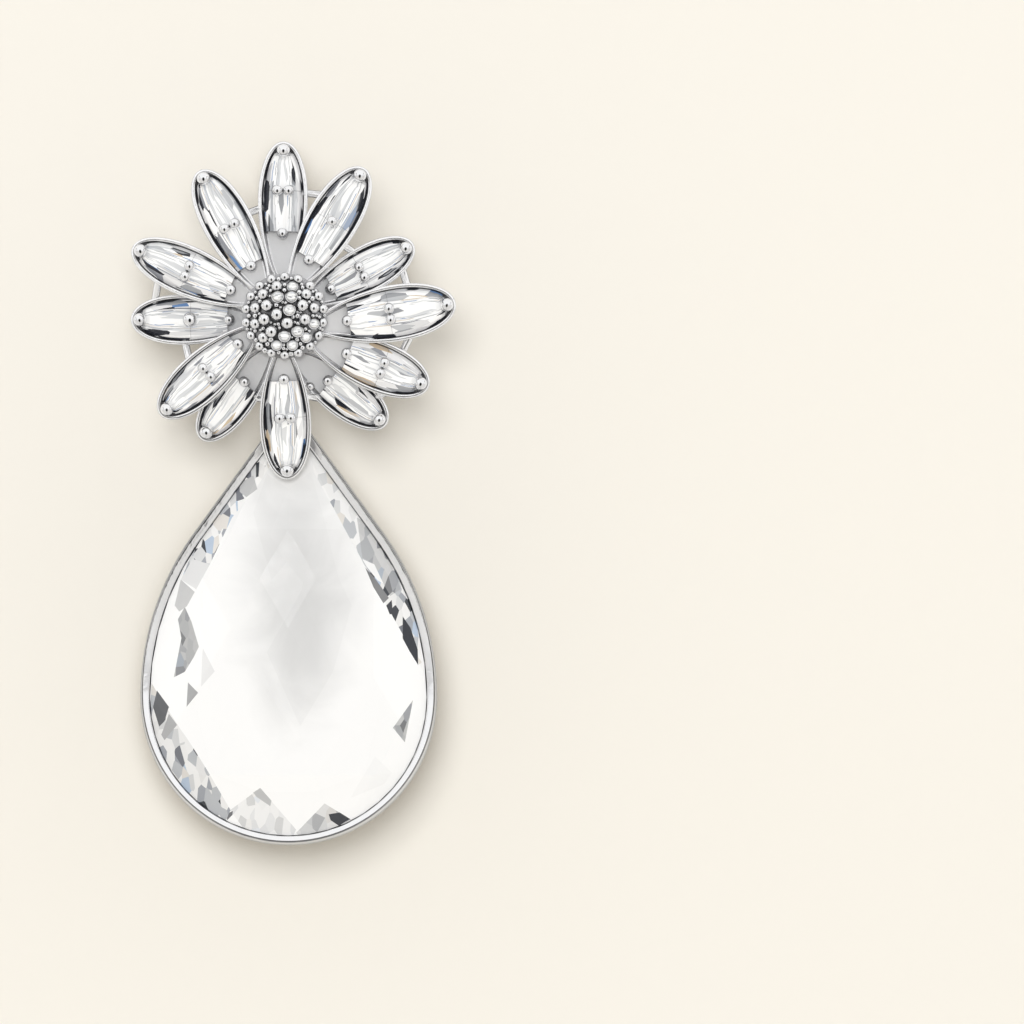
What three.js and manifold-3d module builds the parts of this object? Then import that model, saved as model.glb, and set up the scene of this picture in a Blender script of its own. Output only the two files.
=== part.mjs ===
// A teardrop earring: a daisy of twelve stone-set petals round a cluster of stamens,
// with a large pear-cut stone in a closed bezel hanging from it by a round link.
// Units are millimetres. The origin is where the post leaves the back of the pad,
// the face that rests on the ear. +Z is up, -Y faces the viewer, +X is to the right.

import * as THREE from "three";
import { mergeVertices } from "three/addons/utils/BufferGeometryUtils.js";
import { ConvexGeometry } from "three/addons/geometries/ConvexGeometry.js";
import Module from "manifold-3d";

const wasm = await Module();
wasm.setup();

// Petal cups
const PETAL_TILT = THREE.MathUtils.degToRad(7);
const PETAL_BACK_Y = -2.3;
const FLOWER_REACH = 15.4;
const PETAL_LENGTH = 13;
const PETAL_WIDTH = 4.5;
const TIER_STEP = 1.55;
const CUP_DEPTH = 1.35;
const CUP_FLOOR = 0.3;
const RIM_WIDTH = 0.27;
const CUP_SIDES = 18;

// Outline of a petal: it is widest past its middle and blunter at the tip
const ROOT_FULLNESS = 0.75;
const TIP_FULLNESS = 0.5;

// Petal stones
const STONE_INSET = 0.52;
const STONE_TOP_DROP = 0.08;
const CROWN_HEIGHT = 0.42;
const PAVILION_DEPTH = 0.38;
const STONE_TIP_GAP = 1.05;
const STONE_SPLIT_GAP = 0.62;
const SEAT_GAP = 0.06;

// Prong beads
const TIP_BEAD_RADIUS = 0.6;
const TIP_BEAD_FROM_TIP = 0.87;
const TIP_STALK_FROM_TIP = 0.54;
const PRONG_BEAD_RADIUS = 0.44;
const PAIR_SPREAD = 0.47;
const SINGLE_BEAD_RADIUS = 0.68;
const BEAD_SINK = 0.28;
const STALK_RADIUS = 0.22;
const BEAD_SIDES = 10;
const PRONG_LATITUDES = [0, 50];
const NECK_SHARE = 0.7;

// Back of the flower
const PLATE_RADIUS = 6;
const PLATE_BACK_Y = -2.6;
const PLATE_THICKNESS = 0.95;
const PLATE_BEVEL = 0.33;
const DRUM_RADIUS = 3.6;
const BRIDGE_RADIUS = 0.34;
const BRIDGE_HEIGHT = 0.57;
const BRIDGE_SINK = 0.35;
const BRIDGE_SIDES = 5;

// Stamens
const STAMEN_BASE_Y = -6.25;
const STAMEN_BASE_RADIUS = 3.8;
const STAMEN_BASE_THICKNESS = 0.55;
const STAMEN_DOME_HEIGHT = 1.25;
const STAMEN_PEG_RADIUS = 1.1;
const STAMEN_PEG_LENGTH = 1.72;
const STAMEN_BEAD_RADIUS = 0.5;
const STAMEN_ROOM = 1.65;
const STAMEN_CENTRE_Z = 0.1;
const STAMEN_NECK = 0.85;
const STAMEN_LATITUDES = [0, 48];

// Post
const PIN_RADIUS = 0.42;
const PIN_LENGTH = 10.6;
const PIN_TIP_LENGTH = 0.8;
const NOTCH_DEPTH = 0.12;
const NOTCH_FROM_TIP = 2.4;
const PAD_RADIUS = 2.4;
const PAD_THICKNESS = 0.6;
const PAD_BEVEL = 0.15;
const STEM_RADIUS = 0.9;
const ROUND_SIDES = 12;

// Hanger, link and loop
const HANG_Y = 0;
const LINK_PIVOT_Z = -6.3;
const EYE_RADIUS = 1.25;
const LINK_RADIUS = 1.4;
const LOOP_RADIUS = 1.1;
const WIRE_RADIUS = 0.36;
const WIRE_GAP = 0.06;
const RING_SIDES = 14;
const WIRE_SIDES = 6;
const HANGER_FOOT_WIDTH = 1.08;
const HANGER_FOOT_HEIGHT = 2.16;
const HANGER_FOOT_SINK = 0.18;

// Drop: a bezel with a loop through its point
const DROP_X = 0.23;
const APEX_OVER_LOOP = 0.77;
const DROP_RADIUS = 13.4;
const DROP_SIDE_RADIUS = 25.2;
const DROP_FLANK = THREE.MathUtils.degToRad(36);
const DROP_APEX_RADIUS = 2;
const APEX_STEPS = 3;
const SIDE_STEPS = 5;
const BOTTOM_STEPS = 11;
const BEZEL_FRONT_Y = -1.6;
const BEZEL_DEPTH = 3.2;
const BEZEL_WIDTH = 0.9;
const BEZEL_FLOOR_INSET = 1.125;
const BEZEL_BACK = 0.6;

// Drop stone
const DROP_STONE_GAP = 0.08;
const DOME_HEIGHT = 1.55;
const DOME_LIFT = 0.25;
const DOME_MIDDLE_RISE = 2.68;
const GIRDLE_SETBACK = 0.42;
const PAVILION_STEP_INSET = 0.9;
const PAVILION_STEP_RISE = 0.6;
const CULET_INSET = 3.6;
const LOZENGE_WIDTH = 5.12;
const LOZENGE_HEIGHT = 8.86;
const LOZENGE_TOP_DROP = 1.23;
const LATTICE_ROWS = 12;
const LATTICE_REACH = 4;
const MARGIN_WIDTH = 1.5;

// Every piece keeps this gap to the piece that it is seated on
const SEAT_CLEARANCE = 0.05;
const MERGE_DISTANCE = 1e-4;
const SHORTEST_EDGE = 6e-3;

// One row for each petal, clockwise from the top. bearing is the way that its axis
// points and tipAt is where the tip of its rim lies, both in degrees clockwise from up.
// reach is the tip's distance from the centre as a share of the flower's, and length and
// width are shares of the petals'. lift is its layer: 0 behind, 1 in front. innerBead and
// midBead are where its prongs stand, and bridge is where a short bar joins it to the
// next petal, all from the tip as shares of its own length.
const PETALS = [
  { bearing: 0.6, tipAt: -0.58, reach: 1.0195, length: 1.0154, width: 1,
    lift: 0, innerBead: 0.636, midBead: 0.341, prongs: "pair", bridge: 0.348 },
  { bearing: 31.1, tipAt: 28.01, reach: 0.9775, length: 1.0154, width: 1.033,
    lift: 1, innerBead: 0.742, midBead: 0.432, prongs: "single", bridge: 0.523 },
  { bearing: 61.5, tipAt: 60.24, reach: 0.8542, length: 0.8846, width: 0.956,
    lift: 0, innerBead: 0.748, midBead: 0.47, prongs: "pair", bridge: 0.165 },
  { bearing: 80.8, tipAt: 85.45, reach: 0.9901, length: 1.0308, width: 1.133,
    lift: 1.2, innerBead: 0.746, midBead: 0.455, prongs: "pair", bridge: 0.328 },
  { bearing: 112, tipAt: 115.92, reach: 0.9241, length: 0.9231, width: 1.022,
    lift: 0.95, innerBead: 0.675, midBead: 0.383, prongs: "pair", bridge: 0.275 },
  { bearing: 127.3, tipAt: 136.91, reach: 0.8536, length: 0.8923, width: 0.956,
    lift: 0, innerBead: 0.578, midBead: 0, prongs: "none", bridge: 0.534 },
  { bearing: 178.1, tipAt: 179.17, reach: 0.9371, length: 0.9538, width: 1.033,
    lift: 1, innerBead: 0.734, midBead: 0.452, prongs: "pair", bridge: 0.581 },
  { bearing: 217, tipAt: 214.6, reach: 0.8576, length: 0.8462, width: 0.911,
    lift: 0, innerBead: 0.6, midBead: 0, prongs: "none", bridge: 0 },
  { bearing: 227.6, tipAt: 231.85, reach: 0.9166, length: 0.9385, width: 0.978,
    lift: 1, innerBead: 0.787, midBead: 0.475, prongs: "pair", bridge: 0.426 },
  { bearing: 270, tipAt: 269.13, reach: 0.8936, length: 0.8923, width: 1.011,
    lift: 0, innerBead: 0.776, midBead: 0.47, prongs: "large", bridge: 0.181 },
  { bearing: 293.5, tipAt: 294.61, reach: 0.9714, length: 0.9846, width: 1.011,
    lift: 0.97, innerBead: 0.766, midBead: 0.43, prongs: "pair", bridge: 0 },
  { bearing: 331.4, tipAt: 329.63, reach: 0.9814, length: 1.0077, width: 1,
    lift: 1.1, innerBead: 0.756, midBead: 0.443, prongs: "pair", bridge: 0.412 },
];

// The cup from its bottom edge, up the outside, over the lip and down to the floor:
// inset is a share of the rim's width, height a share of the cup's depth.
const CUP_ROWS = [
  { inset: 2.2, height: 0 },
  { inset: 0, height: 0.88 },
  { inset: 0.4, height: 1 },
  { inset: 1.1, height: 0.94 },
];
const CUP_FLOOR_INSET = 2.1;

// A petal stone from its table down to its keel: inset is a share of its half width,
// height a share of the crown where positive and of the pavilion where negative.
const STONE_ROWS = [
  { inset: 0.42, height: 1 },
  { inset: 0.17, height: 0.66 },
  { inset: 0, height: 0 },
  { inset: 0.62, height: -1 },
];
const STONE_STATIONS = [0, 0.3, 0.68, 1];

// The stamens stand in four rings. radius is a share of the base's radius, bead a share
// of the largest bead's, and height a share of the dome's height.
const STAMEN_RINGS = [
  { count: 3, radius: 0.1816, turn: 0.33, bead: 1, height: 1 },
  { count: 9, radius: 0.4816, turn: 0.5, bead: 0.98, height: 0.78 },
  { count: 12, radius: 0.7158, turn: 0.5, bead: 0.9, height: 0.46 },
  { count: 18, radius: 0.9211, turn: 0, bead: 0.8, height: 0.16 },
];

// The bezel from its back edge, round the outside, over the lip and down inside:
// inset is a share of the bezel's width, depth a share of its depth from the front.
const BEZEL_ROWS = [
  { inset: 0.5, depth: 1 },
  { inset: 0, depth: 0.84 },
  { inset: 0.22, depth: 0.24 },
  { inset: 0.42, depth: 0.05 },
  { inset: 0.62, depth: 0 },
  { inset: 0.86, depth: 0.04 },
  { inset: 1, depth: 0.12 },
];

const silver = new THREE.MeshStandardMaterial({
  color: 0xdcdde0, roughness: 0.16, metalness: 1 });
const crystal = new THREE.MeshStandardMaterial({
  color: 0xf3f6fa, roughness: 0.03, metalness: 0 });

// Turns a closed geometry into a solid that can be joined and cut
function toSolid(geometry) {
  const bare = new THREE.BufferGeometry();
  bare.setAttribute("position", geometry.getAttribute("position").clone());
  if (geometry.index) bare.setIndex(geometry.index.clone());
  const merged = mergeVertices(bare, MERGE_DISTANCE);
  const corners = merged.index.array;
  const triangles = [];
  for (let k = 0; k < corners.length; k += 3) {
    const [a, b, c] = [corners[k], corners[k + 1], corners[k + 2]];
    if (a !== b && b !== c && c !== a) triangles.push(a, b, c);
  }
  return new wasm.Manifold(new wasm.Mesh({
    numProp: 3,
    vertProperties: new Float32Array(merged.getAttribute("position").array),
    triVerts: new Uint32Array(triangles),
  }));
}

// Turns a solid back into a geometry with flat facets
function toGeometry(solid) {
  const mesh = solid.getMesh();
  const corners = [];
  for (let v = 0; v < mesh.numVert; v += 1) {
    const first = v * mesh.numProp;
    corners.push(new THREE.Vector3(...mesh.vertProperties.slice(first, first + 3)));
  }
  const faces = [];
  for (let k = 0; k < mesh.triVerts.length; k += 3) {
    faces.push([...mesh.triVerts.slice(k, k + 3)]);
  }
  const kept = closeShortEdges(corners, faces);
  const geometry = new THREE.BufferGeometry();
  geometry.setFromPoints(corners);
  geometry.setIndex(kept.flat());
  return mergeVertices(geometry, 0);
}

// Draws together the ends of edges too short to matter, which cuts leave behind. An
// edge goes only where its ends share two neighbours, so that the skin stays closed.
function closeShortEdges(corners, faces) {
  const facesAt = corners.map(() => new Set());
  faces.forEach((face) => face.forEach((v) => facesAt[v].add(face)));
  const neighbours = (v) => new Set([...facesAt[v]].flat().filter((w) => w !== v));
  const close = (keep, drop) => {
    const near = neighbours(keep);
    const shared = [...neighbours(drop)].filter((w) => near.has(w));
    if (shared.length !== 2) return false;
    for (const face of [...facesAt[drop]]) {
      if (face.includes(keep)) {
        face.forEach((v) => facesAt[v].delete(face));
        face.length = 0;
      } else {
        face[face.indexOf(drop)] = keep;
        facesAt[keep].add(face);
      }
    }
    facesAt[drop].clear();
    return true;
  };
  let changed = true;
  while (changed) {
    changed = false;
    for (const face of faces) {
      for (let k = 0; k < 3 && face.length === 3; k += 1) {
        const [keep, drop] = [face[k], face[(k + 1) % 3]];
        if (corners[keep].distanceTo(corners[drop]) > SHORTEST_EDGE) continue;
        changed = close(keep, drop) || changed;
      }
    }
  }
  return faces.filter((face) => face.length === 3);
}

function join(solids) {
  return solids.reduce((whole, solid) => whole.add(solid));
}

// Joins equal rings of points, listed so that point k faces point count - k, into a
// closed skin with a flat cap on the first ring and on the last
function loftRings(rings) {
  const count = rings[0].length;
  const places = rings.flat().flatMap((point) => point.toArray());
  const triangles = [];
  for (let row = 0; row < rings.length - 1; row += 1) {
    for (let k = 0; k < count; k += 1) {
      const here = row * count + k;
      const next = row * count + (k + 1) % count;
      triangles.push(here, next, next + count, here, next + count, here + count);
    }
  }
  const last = (rings.length - 1) * count;
  for (let k = 0; k < count / 2; k += 1) {
    const corners = [k, k + 1, (count - k - 1) % count, (count - k) % count];
    for (const [a, b, c] of [[0, 1, 2], [0, 2, 3]]) {
      const [p, q, r] = [corners[a], corners[b], corners[c]];
      if (p === q || q === r || r === p) continue;
      triangles.push(r, q, p, last + p, last + q, last + r);
    }
  }
  const geometry = new THREE.BufferGeometry();
  geometry.setAttribute("position", new THREE.Float32BufferAttribute(places, 3));
  geometry.setIndex(triangles);
  return facingOut(geometry);
}

// Turns the faces over where a skin was listed inside out
function facingOut(geometry) {
  const place = geometry.getAttribute("position");
  const index = geometry.index.array;
  const [a, b, c] = [new THREE.Vector3(), new THREE.Vector3(), new THREE.Vector3()];
  let volume = 0;
  for (let k = 0; k < index.length; k += 3) {
    a.fromBufferAttribute(place, index[k]);
    b.fromBufferAttribute(place, index[k + 1]);
    c.fromBufferAttribute(place, index[k + 2]);
    volume += a.dot(b.cross(c));
  }
  if (volume < 0) {
    for (let k = 0; k < index.length; k += 3) {
      [index[k], index[k + 1]] = [index[k + 1], index[k]];
    }
  }
  return geometry;
}

// A short round bar between two points
function bar(from, to, radius) {
  const along = new THREE.Vector3().subVectors(to, from);
  const geometry = new THREE.CylinderGeometry(radius, radius, along.length(),
    BRIDGE_SIDES);
  const turn = new THREE.Quaternion().setFromUnitVectors(
    new THREE.Vector3(0, 1, 0), along.clone().normalize());
  geometry.applyQuaternion(turn);
  const middle = new THREE.Vector3().addVectors(from, to).multiplyScalar(0.5);
  geometry.translate(middle.x, middle.y, middle.z);
  return toSolid(geometry);
}

// The rows of a bead above its neck, as radius and height: shares of its radius
function beadRows(radius, latitudes) {
  const rows = latitudes.map((degrees) => {
    const angle = THREE.MathUtils.degToRad(degrees);
    return [radius * Math.cos(angle), radius * Math.sin(angle)];
  });
  return [...rows, [0, radius]];
}

// A body turned round the Y axis from rows of radius and y
function turned(rows, sides = ROUND_SIDES) {
  const profile = rows.map(([radius, y]) => new THREE.Vector2(radius, y));
  return facingOut(indexed(new THREE.LatheGeometry(profile, sides)));
}

// A bead on a stalk, from its foot up to its middle and over the top
function beadOnStalk(foot, centre, radius, stalk, latitudes) {
  const up = new THREE.Vector3().subVectors(centre, foot);
  const neck = up.length() - Math.sqrt(radius ** 2 - stalk ** 2);
  const rows = [[0, 0], [stalk, 0]];
  if (stalk < radius * NECK_SHARE) rows.push([stalk, neck]);
  for (const [reach, rise] of beadRows(radius, latitudes)) {
    rows.push([reach, up.length() + rise]);
  }
  const geometry = turned(rows, BEAD_SIDES);
  geometry.applyQuaternion(new THREE.Quaternion().setFromUnitVectors(
    new THREE.Vector3(0, 1, 0), up.normalize()));
  geometry.translate(foot.x, foot.y, foot.z);
  return toSolid(geometry);
}

function indexed(geometry) {
  const bare = new THREE.BufferGeometry();
  bare.setAttribute("position", geometry.getAttribute("position").clone());
  if (geometry.index) bare.setIndex(geometry.index.clone());
  return mergeVertices(bare, MERGE_DISTANCE);
}

// A wire ring about a centre, whose hole faces along the given axis
function wireRing(centre, radius, wire, axis) {
  const geometry = new THREE.TorusGeometry(radius, wire, WIRE_SIDES, RING_SIDES);
  geometry.rotateZ(Math.PI / 2);
  if (axis === "x") geometry.rotateY(Math.PI / 2);
  if (axis === "y") geometry.rotateX(Math.PI / 2);
  geometry.translate(centre.x, centre.y, centre.z);
  return toSolid(geometry);
}

// The petal's own frame: across to its right, along to its tip, up to the viewer.
// Its root lies on a shallow cone that leans back towards the tips.
function petalFrame(petal) {
  const outward = bearingVector(petal.bearing);
  const across = new THREE.Vector3(outward.z, 0, -outward.x);
  const along = outward.clone().multiplyScalar(Math.cos(PETAL_TILT));
  along.y = Math.sin(PETAL_TILT);
  const up = outward.clone().multiplyScalar(Math.sin(PETAL_TILT));
  up.y = -Math.cos(PETAL_TILT);
  const root = bearingVector(petal.tipAt).multiplyScalar(tipRadius(petal));
  root.addScaledVector(outward, -petal.length * PETAL_LENGTH);
  root.y = coneY(root.length()) - petal.lift * TIER_STEP;
  const matrix = new THREE.Matrix4().makeBasis(across, along, up).setPosition(root);
  return { length: petal.length * PETAL_LENGTH / Math.cos(PETAL_TILT),
    place: (t, s, h) => new THREE.Vector3(t, s, h).applyMatrix4(matrix) };
}

// The way in the earring's plane that a bearing clockwise from up points
function bearingVector(degrees) {
  const angle = THREE.MathUtils.degToRad(degrees);
  return new THREE.Vector3(Math.sin(angle), 0, Math.cos(angle));
}

function tipRadius(petal) {
  return petal.reach * FLOWER_REACH;
}

// The distance from a petal's tip of what stands at a share of its length
function fromTip(petal, share) {
  return share * petal.length * PETAL_LENGTH;
}

// Where the bottom of the rear layer lies at a distance from the centre
function coneY(radius) {
  return PETAL_BACK_Y - Math.tan(PETAL_TILT) * (FLOWER_REACH - radius);
}

function fullness(share) {
  const clamped = THREE.MathUtils.clamp(share, 0, 1);
  const widest = ROOT_FULLNESS / (ROOT_FULLNESS + TIP_FULLNESS);
  const shape = (u) => u ** ROOT_FULLNESS * (1 - u) ** TIP_FULLNESS;
  return shape(clamped) / shape(widest);
}

// Half the width of a petal at a distance from its root, inside its rim by an inset
function halfWidth(petal, length, s, inset) {
  const share = (s - inset) / (length - 2 * inset);
  return (petal.width * PETAL_WIDTH / 2 - inset) * fullness(share);
}

function petalRing(petal, frame, inset, height) {
  const ring = [];
  for (let k = 0; k < CUP_SIDES; k += 1) {
    const angle = (2 * Math.PI * k) / CUP_SIDES;
    const share = (1 - Math.cos(angle)) / 2;
    const side = k === 0 || 2 * k === CUP_SIDES ? 0 : Math.sign(Math.sin(angle));
    const s = inset + (frame.length - 2 * inset) * share;
    const t = side * (petal.width * PETAL_WIDTH / 2 - inset) * fullness(share);
    ring.push(frame.place(t, s, height));
  }
  return ring;
}

// The cup of one petal, open to the front
function petalCup(petal) {
  const frame = petalFrame(petal);
  const rings = CUP_ROWS.map((row) => petalRing(
    petal, frame, row.inset * RIM_WIDTH, row.height * CUP_DEPTH));
  rings.push(petalRing(petal, frame, CUP_FLOOR_INSET * RIM_WIDTH, CUP_FLOOR));
  return toSolid(loftRings(rings));
}

// The points of a petal stone between two distances from the root. grow makes it
// larger all round, for the seat that it is set in.
function stonePoints(petal, from, to, grow) {
  const frame = petalFrame(petal);
  const girdle = CUP_DEPTH - STONE_TOP_DROP - CROWN_HEIGHT;
  const middle = (from + to) / 2;
  const half = halfWidth(petal, frame.length, middle, STONE_INSET);
  const points = [];
  for (const row of STONE_ROWS) {
    const inset = row.inset * half - grow;
    const reach = row.height > 0 ? CROWN_HEIGHT : PAVILION_DEPTH;
    const height = girdle + row.height * (reach + grow);
    for (const share of STONE_STATIONS) {
      const s = THREE.MathUtils.lerp(from + inset, to - inset, share);
      const width = halfWidth(petal, frame.length, s, STONE_INSET) - inset;
      const t = Math.max(width, row.inset === 0 ? STALK_RADIUS : STALK_RADIUS / 2);
      points.push(frame.place(t, s, height), frame.place(-t, s, height));
    }
  }
  return points;
}

// The stretches of a petal that hold stones, each with the end of its node's name
function stoneStretches(petal) {
  const { length } = petalFrame(petal);
  const tip = length - STONE_TIP_GAP;
  const inner = length - fromTip(petal, petal.innerBead) + STALK_RADIUS + 2 * SEAT_GAP;
  if (petal.prongs === "none") return [{ place: "outer", from: inner, to: tip }];
  const gap = petal.prongs === "large" ? SINGLE_BEAD_RADIUS : STONE_SPLIT_GAP / 2;
  const split = length - fromTip(petal, petal.midBead);
  return [
    { place: "outer", from: split + gap, to: tip },
    { place: "inner", from: inner, to: split - gap },
  ];
}

// The beaded prongs of one petal, each on a stalk from the cup's floor
function petalProngs(petal) {
  const frame = petalFrame(petal);
  const prongs = [];
  const stand = (t, distance, foot, radius) => {
    const height = CUP_DEPTH - BEAD_SINK + radius;
    prongs.push(beadOnStalk(frame.place(t, frame.length - foot, CUP_FLOOR / 2),
      frame.place(t, frame.length - distance, height), radius, STALK_RADIUS,
      PRONG_LATITUDES));
  };
  const inner = fromTip(petal, petal.innerBead);
  const middle = fromTip(petal, petal.midBead);
  stand(0, inner, inner, PRONG_BEAD_RADIUS);
  if (petal.prongs === "pair") {
    stand(-PAIR_SPREAD, middle, middle, PRONG_BEAD_RADIUS);
    stand(PAIR_SPREAD, middle, middle, PRONG_BEAD_RADIUS);
  }
  if (petal.prongs === "single") stand(0, middle, middle, PRONG_BEAD_RADIUS);
  if (petal.prongs === "large") stand(0, middle, middle, SINGLE_BEAD_RADIUS);
  stand(0, TIP_BEAD_FROM_TIP, TIP_STALK_FROM_TIP, TIP_BEAD_RADIUS);
  return prongs;
}

// A short bar between the side walls of one petal and the next
function petalBridge(petal, next) {
  const end = (owner, side, distance) => {
    const frame = petalFrame(owner);
    const s = frame.length - distance;
    const t = side * (halfWidth(owner, frame.length, s, 0) - BRIDGE_SINK);
    return frame.place(t, s, BRIDGE_HEIGHT);
  };
  const distance = fromTip(petal, petal.bridge);
  const nextDistance = tipRadius(next) - tipRadius(petal) + distance;
  return bar(end(petal, 1, distance), end(next, -1, nextDistance), BRIDGE_RADIUS);
}

// The plate behind the petals, with the drum that carries their roots
function backPlate() {
  const front = PLATE_BACK_Y - PLATE_THICKNESS;
  const bevel = PLATE_BACK_Y - PLATE_BEVEL;
  const plate = toSolid(turned([
    [0, front], [PLATE_RADIUS, front], [PLATE_RADIUS, bevel],
    [PLATE_RADIUS - PLATE_BEVEL, PLATE_BACK_Y], [0, PLATE_BACK_Y],
  ], 2 * ROUND_SIDES));
  const highest = Math.max(...PETALS.map((petal) => petal.lift));
  const top = coneY(DRUM_RADIUS) - TIER_STEP * highest - CUP_FLOOR / 2;
  const drum = toSolid(turned([
    [0, top], [DRUM_RADIUS, top], [DRUM_RADIUS, bevel], [0, bevel],
  ]));
  return plate.add(drum);
}

// The room that the stamens' base and peg take in the flower
function stamenSeat() {
  const radius = STAMEN_BASE_RADIUS + SEAT_CLEARANCE;
  const peg = STAMEN_PEG_RADIUS + SEAT_CLEARANCE;
  const base = STAMEN_BASE_Y + SEAT_CLEARANCE;
  const end = base + STAMEN_PEG_LENGTH;
  return toSolid(turned([
    [0, base - STAMEN_ROOM], [radius, base - STAMEN_ROOM], [radius, base], [peg, base],
    [peg, end], [0, end],
  ], 2 * ROUND_SIDES)).translate(0, 0, STAMEN_CENTRE_Z);
}

// The silver flower: cups, prongs, bridges and back plate, soldered into one
function flowerFrame() {
  const metal = [backPlate()];
  PETALS.forEach((petal, k) => {
    metal.push(petalCup(petal), ...petalProngs(petal));
    if (petal.bridge > 0) {
      metal.push(petalBridge(petal, PETALS[(k + 1) % PETALS.length]));
    }
  });
  const seats = PETALS.flatMap((petal) => stoneStretches(petal).map(
    ({ from, to }) => toSolid(new ConvexGeometry(
      stonePoints(petal, from, to, SEAT_GAP)))));
  return toGeometry(join(metal).subtract(join(seats)).subtract(stamenSeat()));
}

// The cushion of stamens: beads on stalks of rising height that stand on a round base,
// with a peg that goes down into the flower
function stamenCluster() {
  const base = STAMEN_BASE_Y;
  const top = base - STAMEN_BASE_THICKNESS;
  const pegEnd = base + STAMEN_PEG_LENGTH;
  const solids = [toSolid(turned([
    [0, pegEnd], [STAMEN_PEG_RADIUS, pegEnd], [STAMEN_PEG_RADIUS, base],
    [STAMEN_BASE_RADIUS, base], [STAMEN_BASE_RADIUS, top], [0, top],
  ], 2 * ROUND_SIDES))];
  for (const ring of STAMEN_RINGS) {
    const radius = ring.radius * STAMEN_BASE_RADIUS;
    const bead = ring.bead * STAMEN_BEAD_RADIUS;
    for (let k = 0; k < ring.count; k += 1) {
      const angle = (2 * Math.PI * (k + ring.turn)) / ring.count;
      const place = (y) => new THREE.Vector3(
        radius * Math.sin(angle), y, radius * Math.cos(angle));
      solids.push(beadOnStalk(place(base - STAMEN_BASE_THICKNESS / 2),
        place(top - STAMEN_DOME_HEIGHT * ring.height), bead, bead * STAMEN_NECK,
        STAMEN_LATITUDES));
    }
  }
  return toGeometry(join(solids).translate(0, 0, STAMEN_CENTRE_Z));
}

// The post: a pad that rests on the ear, a stem to the flower and a notched pin
function earPost() {
  const stemEnd = PLATE_BACK_Y + SEAT_CLEARANCE;
  const notch = PIN_LENGTH - NOTCH_FROM_TIP;
  const neck = PIN_RADIUS - NOTCH_DEPTH;
  return turned([
    [0, stemEnd], [STEM_RADIUS, stemEnd], [STEM_RADIUS, -PAD_THICKNESS],
    [PAD_RADIUS - PAD_BEVEL, -PAD_THICKNESS], [PAD_RADIUS, PAD_BEVEL - PAD_THICKNESS],
    [PAD_RADIUS, -PAD_BEVEL], [PAD_RADIUS - PAD_BEVEL, 0], [PIN_RADIUS, 0],
    [PIN_RADIUS, notch - NOTCH_DEPTH], [neck, notch],
    [neck, notch + 2 * NOTCH_DEPTH], [PIN_RADIUS, notch + 3 * NOTCH_DEPTH],
    [PIN_RADIUS, PIN_LENGTH - PIN_TIP_LENGTH], [0, PIN_LENGTH],
  ]);
}

// The hanger behind the bottom petal: a round eye with a foot on the back plate
function dropHanger() {
  const centre = new THREE.Vector3(DROP_X, HANG_Y, LINK_PIVOT_Z + EYE_RADIUS);
  const eye = wireRing(centre, EYE_RADIUS, WIRE_RADIUS, "x");
  const footFront = PLATE_BACK_Y + SEAT_CLEARANCE;
  const footBack = HANG_Y - EYE_RADIUS + HANGER_FOOT_SINK;
  const foot = new THREE.BoxGeometry(
    HANGER_FOOT_WIDTH, footBack - footFront, HANGER_FOOT_HEIGHT);
  foot.translate(centre.x, (footBack + footFront) / 2, centre.z);
  return toGeometry(eye.add(toSolid(foot)));
}

// Heights of the wires that hang one in another
function hangingHeights() {
  const crossing = 2 * WIRE_RADIUS + WIRE_GAP;
  const linkTop = LINK_PIVOT_Z + crossing;
  const linkCentre = linkTop - LINK_RADIUS;
  const dropPivot = linkCentre - LINK_RADIUS;
  const loopCentre = dropPivot + crossing - LOOP_RADIUS;
  return { linkCentre, dropPivot, loopCentre };
}

// The round link between the flower and the drop
function dropLink() {
  const centre = new THREE.Vector3(DROP_X, HANG_Y, hangingHeights().linkCentre);
  return toGeometry(wireRing(centre, LINK_RADIUS, WIRE_RADIUS, "y"));
}

// Heights of the pear outline, worked out down from its point, which the loop goes
// through: the point that its flanks would meet in, and its widest place
function pearHeights() {
  const top = hangingHeights().loopCentre - LOOP_RADIUS + APEX_OVER_LOOP;
  const sharp = top - DROP_APEX_RADIUS + DROP_APEX_RADIUS / Math.sin(DROP_FLANK);
  const flankX = DROP_RADIUS - DROP_SIDE_RADIUS * (1 - Math.cos(DROP_FLANK));
  const flank = sharp - flankX / Math.tan(DROP_FLANK);
  return { top, sharp, widest: flank - DROP_SIDE_RADIUS * Math.sin(DROP_FLANK) };
}

// The pear outline, inside the drop's outer edge by an inset, from its apex and round
// clockwise: apex arc, straight flank, side arc and bottom half circle, then back up
function pearOutline(inset) {
  const { sharp, widest } = pearHeights();
  const apexRadius = Math.max(DROP_APEX_RADIUS - inset, 0);
  const apex = sharp - (inset + apexRadius) / Math.sin(DROP_FLANK);
  const right = [];
  const arc = (x, z, radius, from, to, steps, first) => {
    for (let k = first; k <= steps; k += 1) {
      const angle = THREE.MathUtils.lerp(from, to, k / steps);
      right.push([x + radius * Math.cos(angle), z + radius * Math.sin(angle)]);
    }
  };
  const up = Math.PI / 2;
  arc(0, apex, apexRadius, up, DROP_FLANK, APEX_STEPS, 0);
  arc(DROP_RADIUS - DROP_SIDE_RADIUS, widest, DROP_SIDE_RADIUS - inset, DROP_FLANK, 0,
    SIDE_STEPS, 0);
  arc(0, widest, DROP_RADIUS - inset, 0, -up, BOTTOM_STEPS, 1);
  const left = right.slice(1, -1).reverse().map(([x, z]) => [-x, z]);
  return [...right, ...left];
}

function pearRing(inset, y) {
  return pearOutline(inset).map(([x, z]) => new THREE.Vector3(DROP_X + x, y, z));
}

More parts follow.
